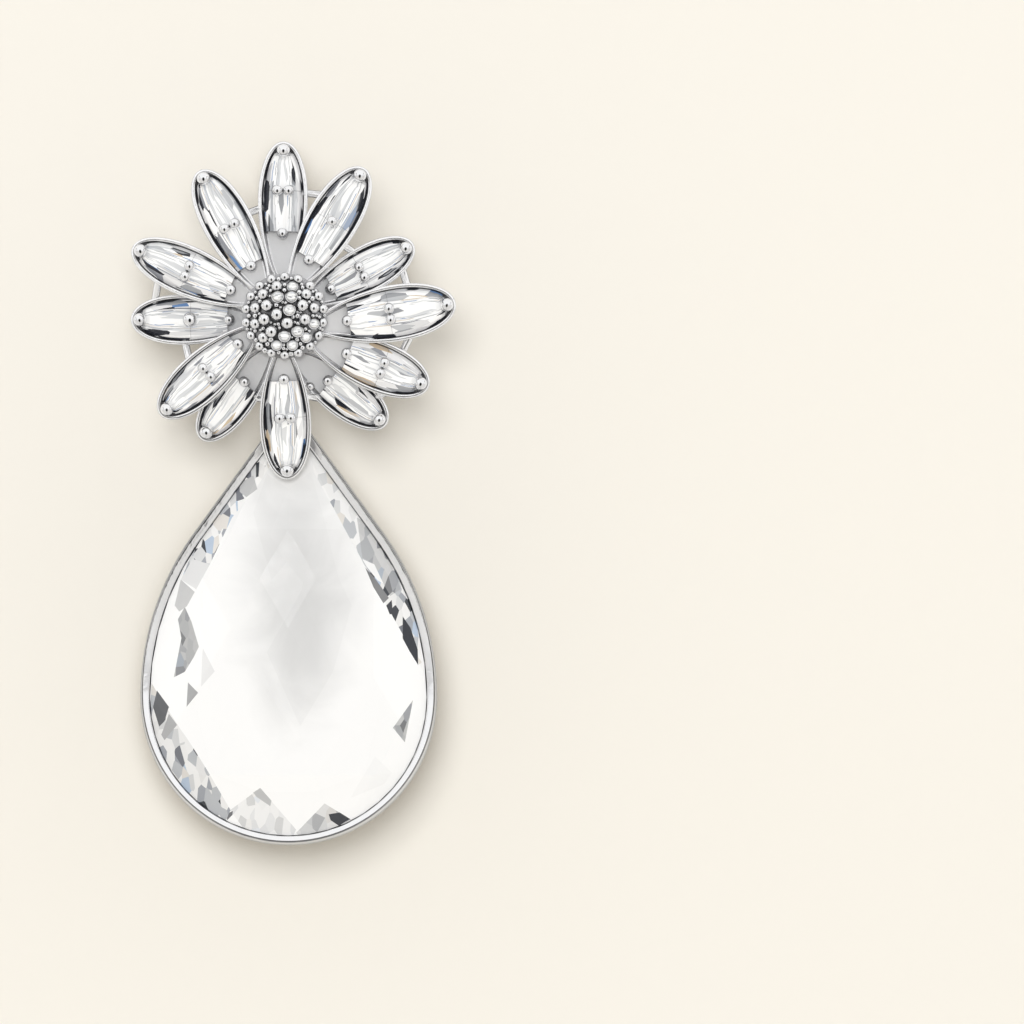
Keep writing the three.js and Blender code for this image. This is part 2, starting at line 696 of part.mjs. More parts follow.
// The bezel of the drop, closed at the back, with the loop that it hangs by
function dropBezel() {
  const rings = BEZEL_ROWS.map((row) => pearRing(
    row.inset * BEZEL_WIDTH, BEZEL_FRONT_Y + row.depth * BEZEL_DEPTH));
  const floorY = BEZEL_FRONT_Y + BEZEL_DEPTH - BEZEL_BACK;
  rings.push(pearRing(BEZEL_FLOOR_INSET, floorY));
  const cup = toSolid(loftRings(rings));
  const centre = new THREE.Vector3(DROP_X, HANG_Y, hangingHeights().loopCentre);
  const loop = wireRing(centre, LOOP_RADIUS, WIRE_RADIUS, "x");
  const room = toSolid(new ConvexGeometry([
    ...pearRing(BEZEL_WIDTH, BEZEL_FRONT_Y - BEZEL_DEPTH),
    ...pearRing(BEZEL_WIDTH, BEZEL_FRONT_Y + GIRDLE_SETBACK),
    ...pearRing(BEZEL_FLOOR_INSET, floorY)]));
  return toGeometry(cup.add(loop.subtract(room)));
}

// The pear stone: a crown of level lozenges on a dome, a knife-edge girdle and a
// pavilion of two rows. The dome falls off as a paraboloid whose rates across and
// down are set so that the four corners of each lozenge lie in one plane.
function dropStone() {
  const inset = BEZEL_WIDTH + DROP_STONE_GAP;
  const girdleY = BEZEL_FRONT_Y + GIRDLE_SETBACK;
  const culetY = BEZEL_FRONT_Y + BEZEL_DEPTH - BEZEL_BACK - DROP_STONE_GAP;
  const { top, widest } = pearHeights();
  const ratio = (LOZENGE_WIDTH / LOZENGE_HEIGHT) ** 2;
  const across = DOME_HEIGHT / (DROP_RADIUS - inset) ** 2;
  const margin = pearOutline(inset + MARGIN_WIDTH);
  const points = [];
  for (let row = 0; row < LATTICE_ROWS; row += 1) {
    const z = top - LOZENGE_TOP_DROP - (row * LOZENGE_HEIGHT) / 2;
    for (let column = -LATTICE_REACH; column <= LATTICE_REACH; column += 1) {
      const x = (column + (row % 2) / 2) * LOZENGE_WIDTH;
      if (!insideOutline(margin, x, z)) continue;
      const fall = across * (x ** 2 + ratio * (z - widest - DOME_MIDDLE_RISE) ** 2);
      const y = girdleY - DOME_HEIGHT - DOME_LIFT + fall;
      points.push(new THREE.Vector3(DROP_X + x, y, z));
    }
  }
  points.push(...pearRing(inset, girdleY));
  points.push(...pearRing(inset + PAVILION_STEP_INSET, culetY - PAVILION_STEP_RISE));
  points.push(...pearRing(inset + CULET_INSET, culetY));
  return new ConvexGeometry(points);
}

function insideOutline(outline, x, z) {
  return outline.every(([ax, az], k) => {
    const [bx, bz] = outline[(k + 1) % outline.length];
    return (bx - ax) * (z - az) - (bz - az) * (x - ax) <= 0;
  });
}

const group = new THREE.Group();

function addPiece(name, geometry, material) {
  const mesh = new THREE.Mesh(geometry, material);
  mesh.name = name;
  group.add(mesh);
}

addPiece("flower_frame", flowerFrame(), silver);
addPiece("stamen_cluster", stamenCluster(), silver);
addPiece("ear_post", earPost(), silver);
addPiece("drop_hanger", dropHanger(), silver);
addPiece("drop_link", dropLink(), silver);
addPiece("drop_bezel", dropBezel(), silver);
addPiece("drop_stone", dropStone(), crystal);
PETALS.forEach((petal, k) => {
  const number = String(k + 1).padStart(2, "0");
  for (const { place, from, to } of stoneStretches(petal)) {
    addPiece(`petal_stone_${place}_${number}`,
      new ConvexGeometry(stonePoints(petal, from, to, 0)), crystal);
  }
});

export default group;
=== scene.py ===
import logging
import math
import random
from collections.abc import Callable
from dataclasses import dataclass, field
from enum import Enum

import bmesh
import bpy
from mathutils import Matrix, Vector

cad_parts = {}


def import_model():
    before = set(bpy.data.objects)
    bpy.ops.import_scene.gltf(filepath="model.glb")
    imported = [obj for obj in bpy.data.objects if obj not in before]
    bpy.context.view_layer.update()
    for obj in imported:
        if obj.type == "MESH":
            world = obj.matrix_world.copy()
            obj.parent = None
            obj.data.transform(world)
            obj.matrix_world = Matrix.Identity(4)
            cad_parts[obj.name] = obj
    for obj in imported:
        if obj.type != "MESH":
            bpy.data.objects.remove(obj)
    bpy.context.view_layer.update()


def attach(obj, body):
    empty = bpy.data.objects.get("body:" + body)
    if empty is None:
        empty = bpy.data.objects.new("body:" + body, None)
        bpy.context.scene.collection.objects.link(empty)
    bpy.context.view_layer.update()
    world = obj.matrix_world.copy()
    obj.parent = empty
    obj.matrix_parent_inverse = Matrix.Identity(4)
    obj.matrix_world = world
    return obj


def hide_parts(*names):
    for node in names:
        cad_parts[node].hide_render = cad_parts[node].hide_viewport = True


# The teardrop earring: a daisy of twelve stone-set petals round a cushion of stamens, and
# a pear-cut stone in a closed bezel that hangs from it. Sizes are in millimetres and are
# turned to metres where a mesh or a light is made. The frame is the CAD model's own.

MM = 0.001
AXIS_X = Vector((1, 0, 0))
AXIS_Y = Vector((0, 1, 0))
LOG = logging.getLogger("earring")


class Body(Enum):
    """The moving bodies that pieces ride on."""

    FLOWER = "flower"
    LINK = "link"
    DROP = "drop"


class Slot(Enum):
    """The record's material slots."""

    SILVER = "polished_silver"
    PETAL = "petal_crystal"
    DROP = "drop_crystal"


class Prongs(Enum):
    """How the stones of a petal are held apart at its middle."""

    PAIR = "two beads side by side"
    SINGLE = "one bead"
    LARGE = "one large bead"
    NONE = "one stone and no beads"


class Wire:
    """An output of a node. Python's operators on it add Math nodes."""

    def __init__(self, graph: "Graph", socket: bpy.types.NodeSocket) -> None:
        """Wraps a socket.

        Args:
            graph: The graph that the socket's node is in.
            socket: The output socket.
        """
        self.graph = graph
        self.socket = socket

    def joined(self, operation: str, first: "Wire | float", second: "Wire | float") -> "Wire":
        """Adds a Math node.

        Args:
            operation: The node's operation.
            first: Its first value.
            second: Its second value.

        Returns:
            The node's result.
        """
        node = self.graph.node(
            "ShaderNodeMath", {"operation": operation}, {0: first, 1: second}
        )
        return self.graph.out(node)

    def __add__(self, other: "Wire | float") -> "Wire":
        """Adds."""
        return self.joined("ADD", self, other)

    def __sub__(self, other: "Wire | float") -> "Wire":
        """Subtracts."""
        return self.joined("SUBTRACT", self, other)

    def __rsub__(self, other: float) -> "Wire":
        """Subtracts from a number."""
        return self.joined("SUBTRACT", other, self)

    def __mul__(self, other: "Wire | float") -> "Wire":
        """Multiplies."""
        return self.joined("MULTIPLY", self, other)

    def most(self, other: "Wire | float") -> "Wire":
        """Gives the larger of two values."""
        return self.joined("MAXIMUM", self, other)

    def size(self) -> "Wire":
        """Gives the value without its sign."""
        return self.joined("ABSOLUTE", self, 0.0)

    def eased(self, low: float, high: float, start: float = 0.0, end: float = 1.0) -> "Wire":
        """Maps a range smoothly to another and holds the ends.

        Args:
            low: Where the change begins.
            high: Where it ends.
            start: The value up to low.
            end: The value from high on.

        Returns:
            The mapped value.
        """
        node = self.graph.node(
            "ShaderNodeMapRange",
            {"interpolation_type": "SMOOTHSTEP"},
            {0: self, 1: low, 2: high, 3: start, 4: end},
        )
        return self.graph.out(node)


class Graph:
    """A node tree that is built by expressions."""

    def __init__(self, tree: bpy.types.NodeTree) -> None:
        """Empties the tree.

        Args:
            tree: The node tree of a material or a world.
        """
        self.tree = tree
        tree.nodes.clear()

    def node(
        self,
        kind: str,
        settings: dict[str, object] | None = None,
        inputs: dict[str | int, object] | None = None,
    ) -> bpy.types.Node:
        """Adds any node.

        Args:
            kind: The node's type.
            settings: Its properties, or the stops of its ramp as (place, colour) pairs.
            inputs: The value or wire of each socket, by name or number.

        Returns:
            The node.
        """
        made = self.tree.nodes.new(kind)
        for name, value in (settings or {}).items():
            if name == "stops":
                self.set_stops(made, value)
            else:
                setattr(made, name, value)
        for name, value in (inputs or {}).items():
            if isinstance(value, Wire):
                self.tree.links.new(value.socket, made.inputs[name])
            else:
                made.inputs[name].default_value = value
        return made

    @staticmethod
    def set_stops(ramp: bpy.types.Node, stops: list[tuple[float, tuple]]) -> None:
        """Sets the stops of a stepped colour ramp.

        Args:
            ramp: The ramp's node.
            stops: A place and a colour for each stop, in order.
        """
        ramp.color_ramp.interpolation = "CONSTANT"
        elements = ramp.color_ramp.elements
        while len(elements) < len(stops):
            elements.new(1.0)
        for element, (place, colour) in zip(elements, stops):
            element.position = place
            element.color = (*colour, 1)

    def out(self, node: bpy.types.Node, socket: int | str = 0) -> Wire:
        """Wraps one output of a node."""
        return Wire(self, node.outputs[socket])

    def noise(self, place: Wire, scale: float, detail: float = 3.0, warp: float = 0.0) -> Wire:
        """Gives noise from 0 to 1.

        Args:
            place: Where it is read.
            scale: How fine it is.
            detail: How many finer layers it has.
            warp: How much it is pulled out of shape.

        Returns:
            The noise's value.
        """
        node = self.node(
            "ShaderNodeTexNoise",
            None,
            {"Vector": place, "Scale": scale, "Detail": detail, "Distortion": warp},
        )
        return self.out(node, 0)

    def given(self, kind: str, inputs: dict[str | int, object] | None = None) -> Wire:
        """Adds a node without settings and gives its first output."""
        return self.out(self.node(kind, None, inputs))

    def vector(self, operation: str, *values: object) -> Wire:
        """Adds a Vector Math node and gives the vector that it finds."""
        kind = "ShaderNodeVectorMath"
        return self.out(self.node(kind, {"operation": operation}, dict(enumerate(values))))

    def distance(self, place: Wire) -> Wire:
        """Gives how far a place is from the origin."""
        node = self.node("ShaderNodeVectorMath", {"operation": "LENGTH"}, {0: place})
        return self.out(node, "Value")

    def stretched(self, place: Wire, scale: tuple[float, float, float]) -> Wire:
        """Scales a place along each of its axes."""
        return self.vector("MULTIPLY", place, scale)

    def seen_by(self, ray: str) -> Wire:
        """Gives 1 to rays of one kind, by the name of the output, and 0 to the others."""
        return self.out(self.node("ShaderNodeLightPath"), ray)

    def behind(self) -> Wire:
        """Gives 1 on the back of a face and 0 on its front."""
        return self.out(self.node("ShaderNodeNewGeometry"), "Backfacing")

    def finish(self, shader: Wire) -> None:
        """Ends a material's graph in its surface."""
        self.node("ShaderNodeOutputMaterial", None, {"Surface": shader})

    def blended(self, share: Wire | float, first: object, second: object) -> Wire:
        """Mixes two colours.

        Args:
            share: How much of the second colour there is.
            first: The first colour, or its wire.
            second: The second colour, or its wire.

        Returns:
            The mixed colour.
        """
        node = self.node(
            "ShaderNodeMix",
            {"data_type": "RGBA"},
            {0: share, 6: rgba(first), 7: rgba(second)},
        )
        return self.out(node, 2)

    def attribute(self, name: str, socket: str = "Fac") -> Wire:
        """Reads an attribute of the mesh."""
        node = self.node("ShaderNodeAttribute", {"attribute_name": name})
        return self.out(node, socket)

    def millimetres(self) -> Wire:
        """Gives the place on the object in millimetres."""
        where = self.out(self.node("ShaderNodeTexCoord"), "Object")
        return self.stretched(where, (1 / MM, 1 / MM, 1 / MM))


def rgba(colour: object) -> object:
    """Adds alpha to a colour of three numbers and leaves a wire as it is."""
    return colour if isinstance(colour, Wire) else (*colour, 1)


def new_material(name: str) -> tuple[bpy.types.Material, Graph]:
    """Makes an empty material.

    Args:
        name: The material's name.

    Returns:
        The material and the graph of its nodes.
    """
    material = bpy.data.materials.new(name)
    material.use_nodes = True
    return material, Graph(material.node_tree)


@dataclass(frozen=True)
class SilverFinish:
    """Silver with a hand-polished ripple, fine wear marks and painted shade in its recesses and
    crevices.
    """

    name: str
    colour: tuple[float, float, float] = (0.90, 0.90, 0.905)
    # The colour that the hollow attribute paints into recesses as shade
    hollow_shade: tuple[float, float, float] = (0.30, 0.30, 0.32)
    roughness: float = 0.03
    smear: float = 0.05
    ripple: float = 0.05
    ripple_scale: float = 0.9
    grain: float = 0.05
    grain_stretch: tuple[float, float, float] = (9.0, 9.0, 9.0)
    metallic: float = 1.0
    # Painted shade: within crevice of other silver, ambient occlusion darkens the colour toward
    # crevice_shade_tone
    crevice: float = 0.55
    crevice_shade_depth: float = 0.8
    crevice_shade_tone: tuple[float, float, float] = (0.03, 0.03, 0.035)
    worn: tuple[float, float, float] = (0.74, 0.75, 0.78)
    worn_share: float = 0.22
    hollow_roughness: float = 0.25
    swell_height: float = 0.4
    mark_height: float = 0.05

    def material(self) -> bpy.types.Material:
        """Builds the finish.

        Returns:
            The material.
        """
        material, graph = new_material(self.name)
        place = graph.millimetres()
        cloud = graph.noise(place, 0.55, 4.0, 0.6)
        grain = graph.noise(graph.stretched(place, self.grain_stretch), 1.0, 4.0)
        hollow_shade = graph.attribute("hollow_shade")
        worn = cloud.eased(0.35, 0.75, 0.0, self.worn_share)
        tone = graph.blended(worn, self.colour, self.worn)
        # Painted shade in recesses: where the hollow attribute is high, the colour goes to the
        # hollow colour
        tone = graph.blended(hollow_shade, tone, self.hollow_shade)
        # Painted shade in crevices and between parts: ambient occlusion darkens the colour
        open_share = graph.node(
            "ShaderNodeAmbientOcclusion", {"samples": 5}, {"Distance": self.crevice * MM}
        )
        crevice_shade = (1 - graph.out(open_share, "AO")).eased(0.35, 0.9, 0.0, self.crevice_shade_depth)
        tone = graph.blended(crevice_shade, tone, self.crevice_shade_tone)
        rough = cloud.eased(0.3, 0.8, 0.0, self.smear) + grain * (self.smear * 0.5)
        rough = rough + hollow_shade * self.hollow_roughness + self.roughness
        ripple = graph.noise(place, self.ripple_scale, 2.0, 0.3)
        reach = self.swell_height * MM
        normal = graph.given(
            "ShaderNodeBump", {"Strength": self.ripple, "Distance": reach, "Height": ripple}
        )
        reach = self.mark_height * MM
        normal = graph.given(
            "ShaderNodeBump",
            {"Strength": self.grain, "Distance": reach, "Height": grain, "Normal": normal},
        )
        surface = graph.given(
            "ShaderNodeBsdfPrincipled",
            {
                "Base Color": tone,
                "Metallic": self.metallic,
                "Roughness": rough,
                "Normal": normal,
            },
        )
        graph.finish(surface)
        return material


@dataclass(frozen=True)
class CrystalFinish:
    """A cut stone over foil: painted inner reflections under clear, polished facets.

    The stone's corners carry stone_place: across, along and up. Its facets carry tone, the
    painted reflection from 0, black, to 1, clear, and shatter, which turns them to broken
    reflections.
    """

    name: str
    clear: tuple[float, float, float] = (0.915, 0.92, 0.928)
    dark: tuple[float, float, float] = (0.03, 0.033, 0.042)
    cells: tuple[float, float, float] = (1.45, 0.8, 0.4)
    # A painted grey reflection, a soft cloud over the stone's middle: its colour, middle, reach,
    # depth and raggedness
    grey_reflection: tuple[float, float, float] = (0.62, 0.625, 0.632)
    grey_reflection_place: tuple[float, float] = (1.1, -23.6)
    grey_reflection_reach: tuple[float, float] = (6.4, 15.0)
    grey_reflection_depth: float = 0.84
    grey_reflection_wisps: float = 1.1
    glass: float = 0.04
    glass_tint: tuple[float, float, float] = (0.98, 0.99, 1.0)
    roughness: float = 0.02
    fleck: float = 0.05
    gloss: float = 0.3
    coat: float = 0.12
    coat_roughness: float = 0.01
    index: float = 1.56
    # The colours of the painted broken reflections, by level
    splinters: tuple[tuple[float, tuple[float, float, float]], ...] = (
        (0.0, (0.97, 0.97, 0.97)), (0.22, (0.74, 0.75, 0.76)), (0.34, (0.95, 0.95, 0.95)),
        (0.46, (0.56, 0.58, 0.61)), (0.56, (0.88, 0.88, 0.88)), (0.66, (0.82, 0.79, 0.75)),
        (0.72, (0.40, 0.42, 0.46)), (0.79, (0.52, 0.62, 0.76)), (0.84, (0.97, 0.97, 0.97)),
        (0.90, (0.20, 0.21, 0.24)), (0.96, (0.05, 0.055, 0.065)),
    )

    def picked(self, graph: Graph, place: Wire, randomness: float = 1.0) -> Wire:
        """Gives one random number for each of the splinters that a stone breaks into."""
        cells = graph.node(
            "ShaderNodeTexVoronoi",
            {"feature": "F1"},
            {
                "Vector": graph.stretched(place, self.cells),
                "Scale": 1.0,
                "Randomness": randomness,
            },
        )
        return graph.out(graph.node("ShaderNodeSeparateColor", None, {0: graph.out(cells, 1)}))

    def inner_light(self, graph: Graph) -> Wire:
        """Paints the reflections seen inside the stone.

        Args:
            graph: The material's graph.

        Returns:
            The colour.
        """
        place = graph.attribute("stone_place", "Vector")
        tone = graph.attribute("tone")
        (x, z), (wide, high) = self.grey_reflection_place, self.grey_reflection_reach
        # The painted grey reflection fades out from its middle, with ragged wisps
        spread = graph.vector(
            "MULTIPLY_ADD", place, (1 / wide, 1 / high, 0.0), (-x / wide, -z / high, 0.0)
        )
        wisps = graph.noise(place, 0.16, 4.0, 0.5)
        cloud = graph.distance(spread) + (wisps - 0.5) * self.grey_reflection_wisps
        inner = graph.blended(cloud.eased(0.15, 1.15, self.grey_reflection_depth, 0.0), self.clear, self.grey_reflection)
        inner = graph.blended(1 - tone, inner, self.dark)
        broken = graph.node(
            "ShaderNodeValToRGB", {"stops": self.splinters}, {0: self.picked(graph, place)}
        )
        shards = graph.blended(1 - tone, graph.out(broken), self.dark)
        return graph.blended(graph.attribute("shatter"), inner, shards)

    def material(self) -> bpy.types.Material:
        """Builds the finish.

        Returns:
            The material.
        """
        material, graph = new_material(self.name)
        place = graph.millimetres()
        fleck = graph.noise(place, 1.8, 3.0)
        rough = fleck.eased(0.5, 0.8, self.roughness, self.roughness + self.fleck)
        painted = graph.given(
            "ShaderNodeBsdfPrincipled",
            {
                "Base Color": self.inner_light(graph),
                "Roughness": rough,
                "IOR": self.index,
                "Specular IOR Level": self.gloss,
                "Coat Weight": self.coat,
                "Coat Roughness": self.coat_roughness,
                "Coat IOR": self.index,
            },
        )
        clear = graph.given(
            "ShaderNodeBsdfPrincipled",
            {
                "Base Color": rgba(self.glass_tint),
                "Transmission Weight": 1.0,
                "Roughness": rough,
                "IOR": self.index,
            },
        )
        graph.finish(graph.given("ShaderNodeMixShader", {0: self.glass, 1: painted, 2: clear}))
        return material


@dataclass(frozen=True)
class PetalCrystalFinish(CrystalFinish):
    """A petal's stone with painted reflections: long clear splinters, darker and coloured
    towards its sides.
    """

    cells: tuple[float, float, float] = (4.9, 0.52, 0.6)
    rim: tuple[float, float] = (0.15, 0.62)
    rim_share: float = 0.36
    edge: tuple[float, float] = (0.90, 0.92)
    streak_reflection: tuple[float, float, float] = (0.50, 0.52, 0.55)
    splinters: tuple[tuple[float, tuple[float, float, float]], ...] = (
        (0.0, (0.97, 0.975, 0.98)), (0.14, (0.72, 0.73, 0.74)), (0.20, (0.97, 0.975, 0.98)),
        (0.34, (0.52, 0.53, 0.55)), (0.39, (0.97, 0.975, 0.98)), (0.52, (0.34, 0.35, 0.37)),
        (0.56, (0.93, 0.93, 0.93)), (0.65, (0.12, 0.24, 0.48)), (0.675, (0.80, 0.80, 0.81)),
        (0.74, (0.62, 0.50, 0.36)), (0.76, (0.95, 0.95, 0.95)), (0.83, (0.28, 0.29, 0.32)),
        (0.87, (0.72, 0.72, 0.73)), (0.92, (0.02, 0.022, 0.03)),
    )

    def inner_light(self, graph: Graph) -> Wire:
        """Paints the reflections seen inside the stone.

        Args:
            graph: The material's graph.

        Returns:
            The colour.
        """
        place = graph.attribute("stone_place", "Vector")
        apart = graph.out(graph.node("ShaderNodeSeparateXYZ", None, {0: place}))
        # Painted reflections run to darker, coloured levels towards the stone's sides
        rim = apart.size().eased(*self.rim)
        level = self.picked(graph, place, 0.85) * (1 - self.rim_share) + rim * self.rim_share
        splinters = graph.node("ShaderNodeValToRGB", {"stops": self.splinters}, {0: level})
        # Fine grey painted reflections in streaks along the stone
        fine = graph.noise(graph.stretched(place, (4.2, 0.16, 1.0)), 1.0, 2.0)
        inner = graph.blended(fine.eased(0.56, 0.60, 0.0, 0.6), graph.out(splinters), self.streak_reflection)
        stretches = graph.noise(graph.stretched(place, (0.8, 0.28, 1.0)), 1.0, 1.0)
        # Painted dark reflections in broken streaks along the stone's edges
        edge = apart.size().eased(*self.edge) * stretches.eased(0.49, 0.52)
        inner = graph.blended(edge, inner, self.dark)
        return graph.blended(1 - graph.attribute("tone"), inner, self.dark)


@dataclass(frozen=True)
class Palette:
    """The finishes of the whole earring."""

    silver: bpy.types.Material
    satin: bpy.types.Material
    # The stamens' dome, painted darker as shade between the beads
    dome_shade_silver: bpy.types.Material
    stamen_silver: bpy.types.Material
    cup_floor: bpy.types.Material
    bezel_wall: bpy.types.Material
    petal_rim: bpy.types.Material
    gem: bpy.types.Material
    foil: bpy.types.Material
    petal_crystal: bpy.types.Material
    drop_crystal: bpy.types.Material


class Skin:
    """Gathers closed shells in millimetres and makes one mesh object of them."""

    def __init__(self) -> None:
        """Starts with nothing."""
        self.points: list[Vector] = []
        self.faces: list[tuple[int, ...]] = []
        self.kinds: list[int] = []
        self.hollow_shades: list[float] = []
        self.kind = 0

    def add(self, points: list[Vector], faces: list[tuple[int, ...]], hollow_shade: object = 0.0) -> None:
        """Adds one shell.

        Args:
            points: Its corners.
            faces: Its faces, by the numbers of their corners.
            hollow_shade: How much painted shade it gets, one number or one for each corner.
        """
        first = len(self.points)
        self.points.extend(points)
        self.faces.extend(tuple(first + k for k in face) for face in faces)
        self.kinds.extend([self.kind] * len(faces))
        each = hollow_shade if isinstance(hollow_shade, list) else [hollow_shade] * len(points)
        self.hollow_shades.extend(each)

    def loft(self, rings: list[list[Vector]], hollow_shades: list[float] | None = None) -> None:
        """Joins equal rings into a closed skin with a flat cap on the first and the last.

        Args:
            rings: Rings of points, listed so that point k faces point count - k.
            hollow_shades: How much painted shade each ring gets.
        """
        count = len(rings[0])
        faces: list[tuple[int, ...]] = []
        for row in range(len(rings) - 1):
            for k in range(count):
                here, beside = row * count + k, row * count + (k + 1) % count
                faces.append((here, beside, beside + count, here + count))
        for first in (0, (len(rings) - 1) * count):
            for k in range(count // 2):
                corners = [k, k + 1, (count - k - 1) % count, (count - k) % count]
                face = tuple(dict.fromkeys(first + c for c in corners))
                if len(face) > 2:
                    faces.append(face if first else face[::-1])
        shades = [s for s in (hollow_shades or [0.0] * len(rings)) for _ in range(count)]
        self.add([p for ring in rings for p in ring], faces, shades)

    def turned(
        self,
        rows: list[tuple[float, float]],
        sides: int,
        matrix: Matrix,
        hollow_shades: list[float] | None = None,
    ) -> None:
        """Turns a profile round the Y axis and then places it.

        Args:
            rows: Radius and height of each row. The first and last have no radius.
            sides: How many sides it has.
            matrix: Where it goes.
            hollow_shades: How much painted shade each row gets.
        """
        shades_in = hollow_shades or [0.0] * len(rows)
        points = [matrix @ Vector((0, rows[0][1], 0))]
        shades = [shades_in[0]]
        for (radius, height), shade in zip(rows[1:-1], shades_in[1:-1]):
            for k in range(sides):
                angle = 2 * math.pi * k / sides
                points.append(
                    matrix @ Vector((radius * math.sin(angle), height, radius * math.cos(angle)))
                )
                shades.append(shade)
        points.append(matrix @ Vector((0, rows[-1][1], 0)))
        shades.append(shades_in[-1])
        faces: list[tuple[int, ...]] = []
        last = len(points) - 1
        for k in range(sides):
            beside = (k + 1) % sides
            faces.append((0, 1 + k, 1 + beside))
            faces.append((last, last - sides + beside, last - sides + k))
            for row in range(len(rows) - 3):
                base = 1 + row * sides
                faces.append((base + k, base + sides + k, base + sides + beside, base + beside))
        self.add(points, faces, shades)

    def ball(self, centre: Vector, radius: float, up: Vector, sides: int = 28) -> None:
        """Adds a round bead.

        Args:
            centre: Its middle.
            radius: Its radius.
            up: The way its pole points.
            sides: How many sides it has.
        """
        rows = sides // 2
        profile = [
            (radius * math.sin(math.pi * k / rows), -radius * math.cos(math.pi * k / rows))
            for k in range(rows + 1)
        ]
        self.turned(profile, sides, placed(centre, up))

    def rod(
        self, start: Vector, end: Vector, radius: float, sides: int = 20, hollow_shade: float = 0.0
    ) -> None:
        """Adds a round rod between two points, with as much painted shade as hollow gives."""
        length = (end - start).length
        rows = [(0.0, 0.0), (radius, 0.0), (radius, length), (0.0, length)]
        self.turned(rows, sides, placed(start, end - start), [hollow_shade] * len(rows))

    def hoop(
        self,
        centre: Vector,
        radius: float,
        wire: float,
        axis: Vector,
        span: tuple[float, float] = (0.0, 360.0),
        sides: int = 24,
    ) -> None:
        """Adds a wire ring, whole or with a gap.

        Args:
            centre: Its middle.
            radius: The radius of the wire's middle line.
            wire: The wire's radius.
            axis: The way its hole faces.
            span: Where it begins and ends, in degrees from its top.
            sides: How many sides the wire has.
        """
        whole = span[1] - span[0] >= 360
        steps = 72
        side = axis.cross(Vector((0, 0, 1))).normalized()
        points, faces = [], []
        for k in range(steps if whole else steps + 1):
            angle = math.radians(span[0] + (span[1] - span[0]) * k / steps)
            out = Vector((0, 0, 1)) * math.cos(angle) + side * math.sin(angle)
            for j in range(sides):
                turn = 2 * math.pi * j / sides
                bend = out * math.cos(turn) + axis * math.sin(turn)
                points.append(centre + out * radius + bend * wire)
        for k in range(steps):
            for j in range(sides):
                here, beside = k * sides + j, k * sides + (j + 1) % sides
                onward = ((k + 1) % steps if whole else k + 1) * sides - k * sides
                faces.append((here, beside, beside + onward, here + onward))
        if not whole:
            faces.append(tuple(range(sides)))
            faces.append(tuple(steps * sides + j for j in range(sides)))
        self.add(points, faces)

    def made(
        self, name: str, materials: list[bpy.types.Material], crease: float = 38.0
    ) -> bpy.types.Object:
        """Makes the object, with smooth faces and sharp creases.

        Args:
            name: The piece's name.
            materials: Its materials, in the order of the kinds.
            crease: The angle from which an edge is sharp, in degrees.

        Returns:
            The object, in metres.
        """
        mesh = bpy.data.meshes.new(name)
        mesh.from_pydata([tuple(p * MM) for p in self.points], [], self.faces)
        # The hollow attribute carries the painted shade of each corner
        shade = mesh.attributes.new("hollow_shade", "FLOAT", "POINT")
        shade.data.foreach_set("value", self.hollow_shades)
        mesh.polygons.foreach_set("material_index", self.kinds)
        work = bmesh.new()
        work.from_mesh(mesh)
        bmesh.ops.recalc_face_normals(work, faces=work.faces)
        limit = math.radians(crease)
        for face in work.faces:
            face.smooth = True
        for edge in work.edges:
            edge.smooth = edge.calc_face_angle(0.0) < limit
        work.to_mesh(mesh)
        work.free()
        for material in materials:
            mesh.materials.append(material)
        return linked(name, mesh)


def placed(origin: Vector, up: Vector) -> Matrix:
    """Gives the move that takes the Y axis to a direction and the origin to a point.

    Args:
        origin: Where the origin goes.
        up: The way the Y axis points after it.

    Returns:
        The matrix.
    """
    turn = AXIS_Y.rotation_difference(up.normalized()).to_matrix().to_4x4()
    return Matrix.Translation(origin) @ turn


def heading(degrees: float) -> Vector:
    """Gives the way that a bearing clockwise from up points, in the earring's plane."""
    angle = math.radians(degrees)
    return Vector((math.sin(angle), 0, math.cos(angle)))


def quarter(steps: int) -> list[float]:
    """Gives the angles of a quarter turn in equal steps, both ends included."""
    return [math.pi / 2 * step / steps for step in range(steps + 1)]


def linked(name: str, data: bpy.types.ID) -> bpy.types.Object:
    """Makes an object of a mesh, a light or a camera and puts it in the scene."""
    made = bpy.data.objects.new(name, data)
    bpy.context.scene.collection.objects.link(made)
    return made


def lerp(first: float, second: float, share: float) -> float:
    """Gives the value a share of the way from the first to the second."""
    return first + (second - first) * share


def settle(piece: bpy.types.Object, body: Body, slot: Slot, *nodes: str) -> None:
    """Hangs a piece on its body, hides the CAD nodes that it stands for and logs them.

    Args:
        piece: The piece.
        body: The body that it moves with.
        slot: The record's slot that its finish is from. It is not used.
        nodes: The CAD nodes that it replaces.
    """
    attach(piece, body.value)
    if nodes:
        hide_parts(*nodes)
    LOG.info("%s: %d faces, for %s", piece.name, len(piece.data.polygons), nodes or "detail")


@dataclass(frozen=True)
class Petal:
    """One petal. Angles are in degrees clockwise from up, and lengths are shares.

    reach is a share of the flower's, length and width of the petals', and the beads and
    the bridge lie at shares of the petal's own length from its tip.
    """

    bearing: float
    tip_at: float
    reach: float
    length: float
    width: float
    lift: float
    inner_bead: float
    mid_bead: float
    prongs: Prongs
    bridge: float


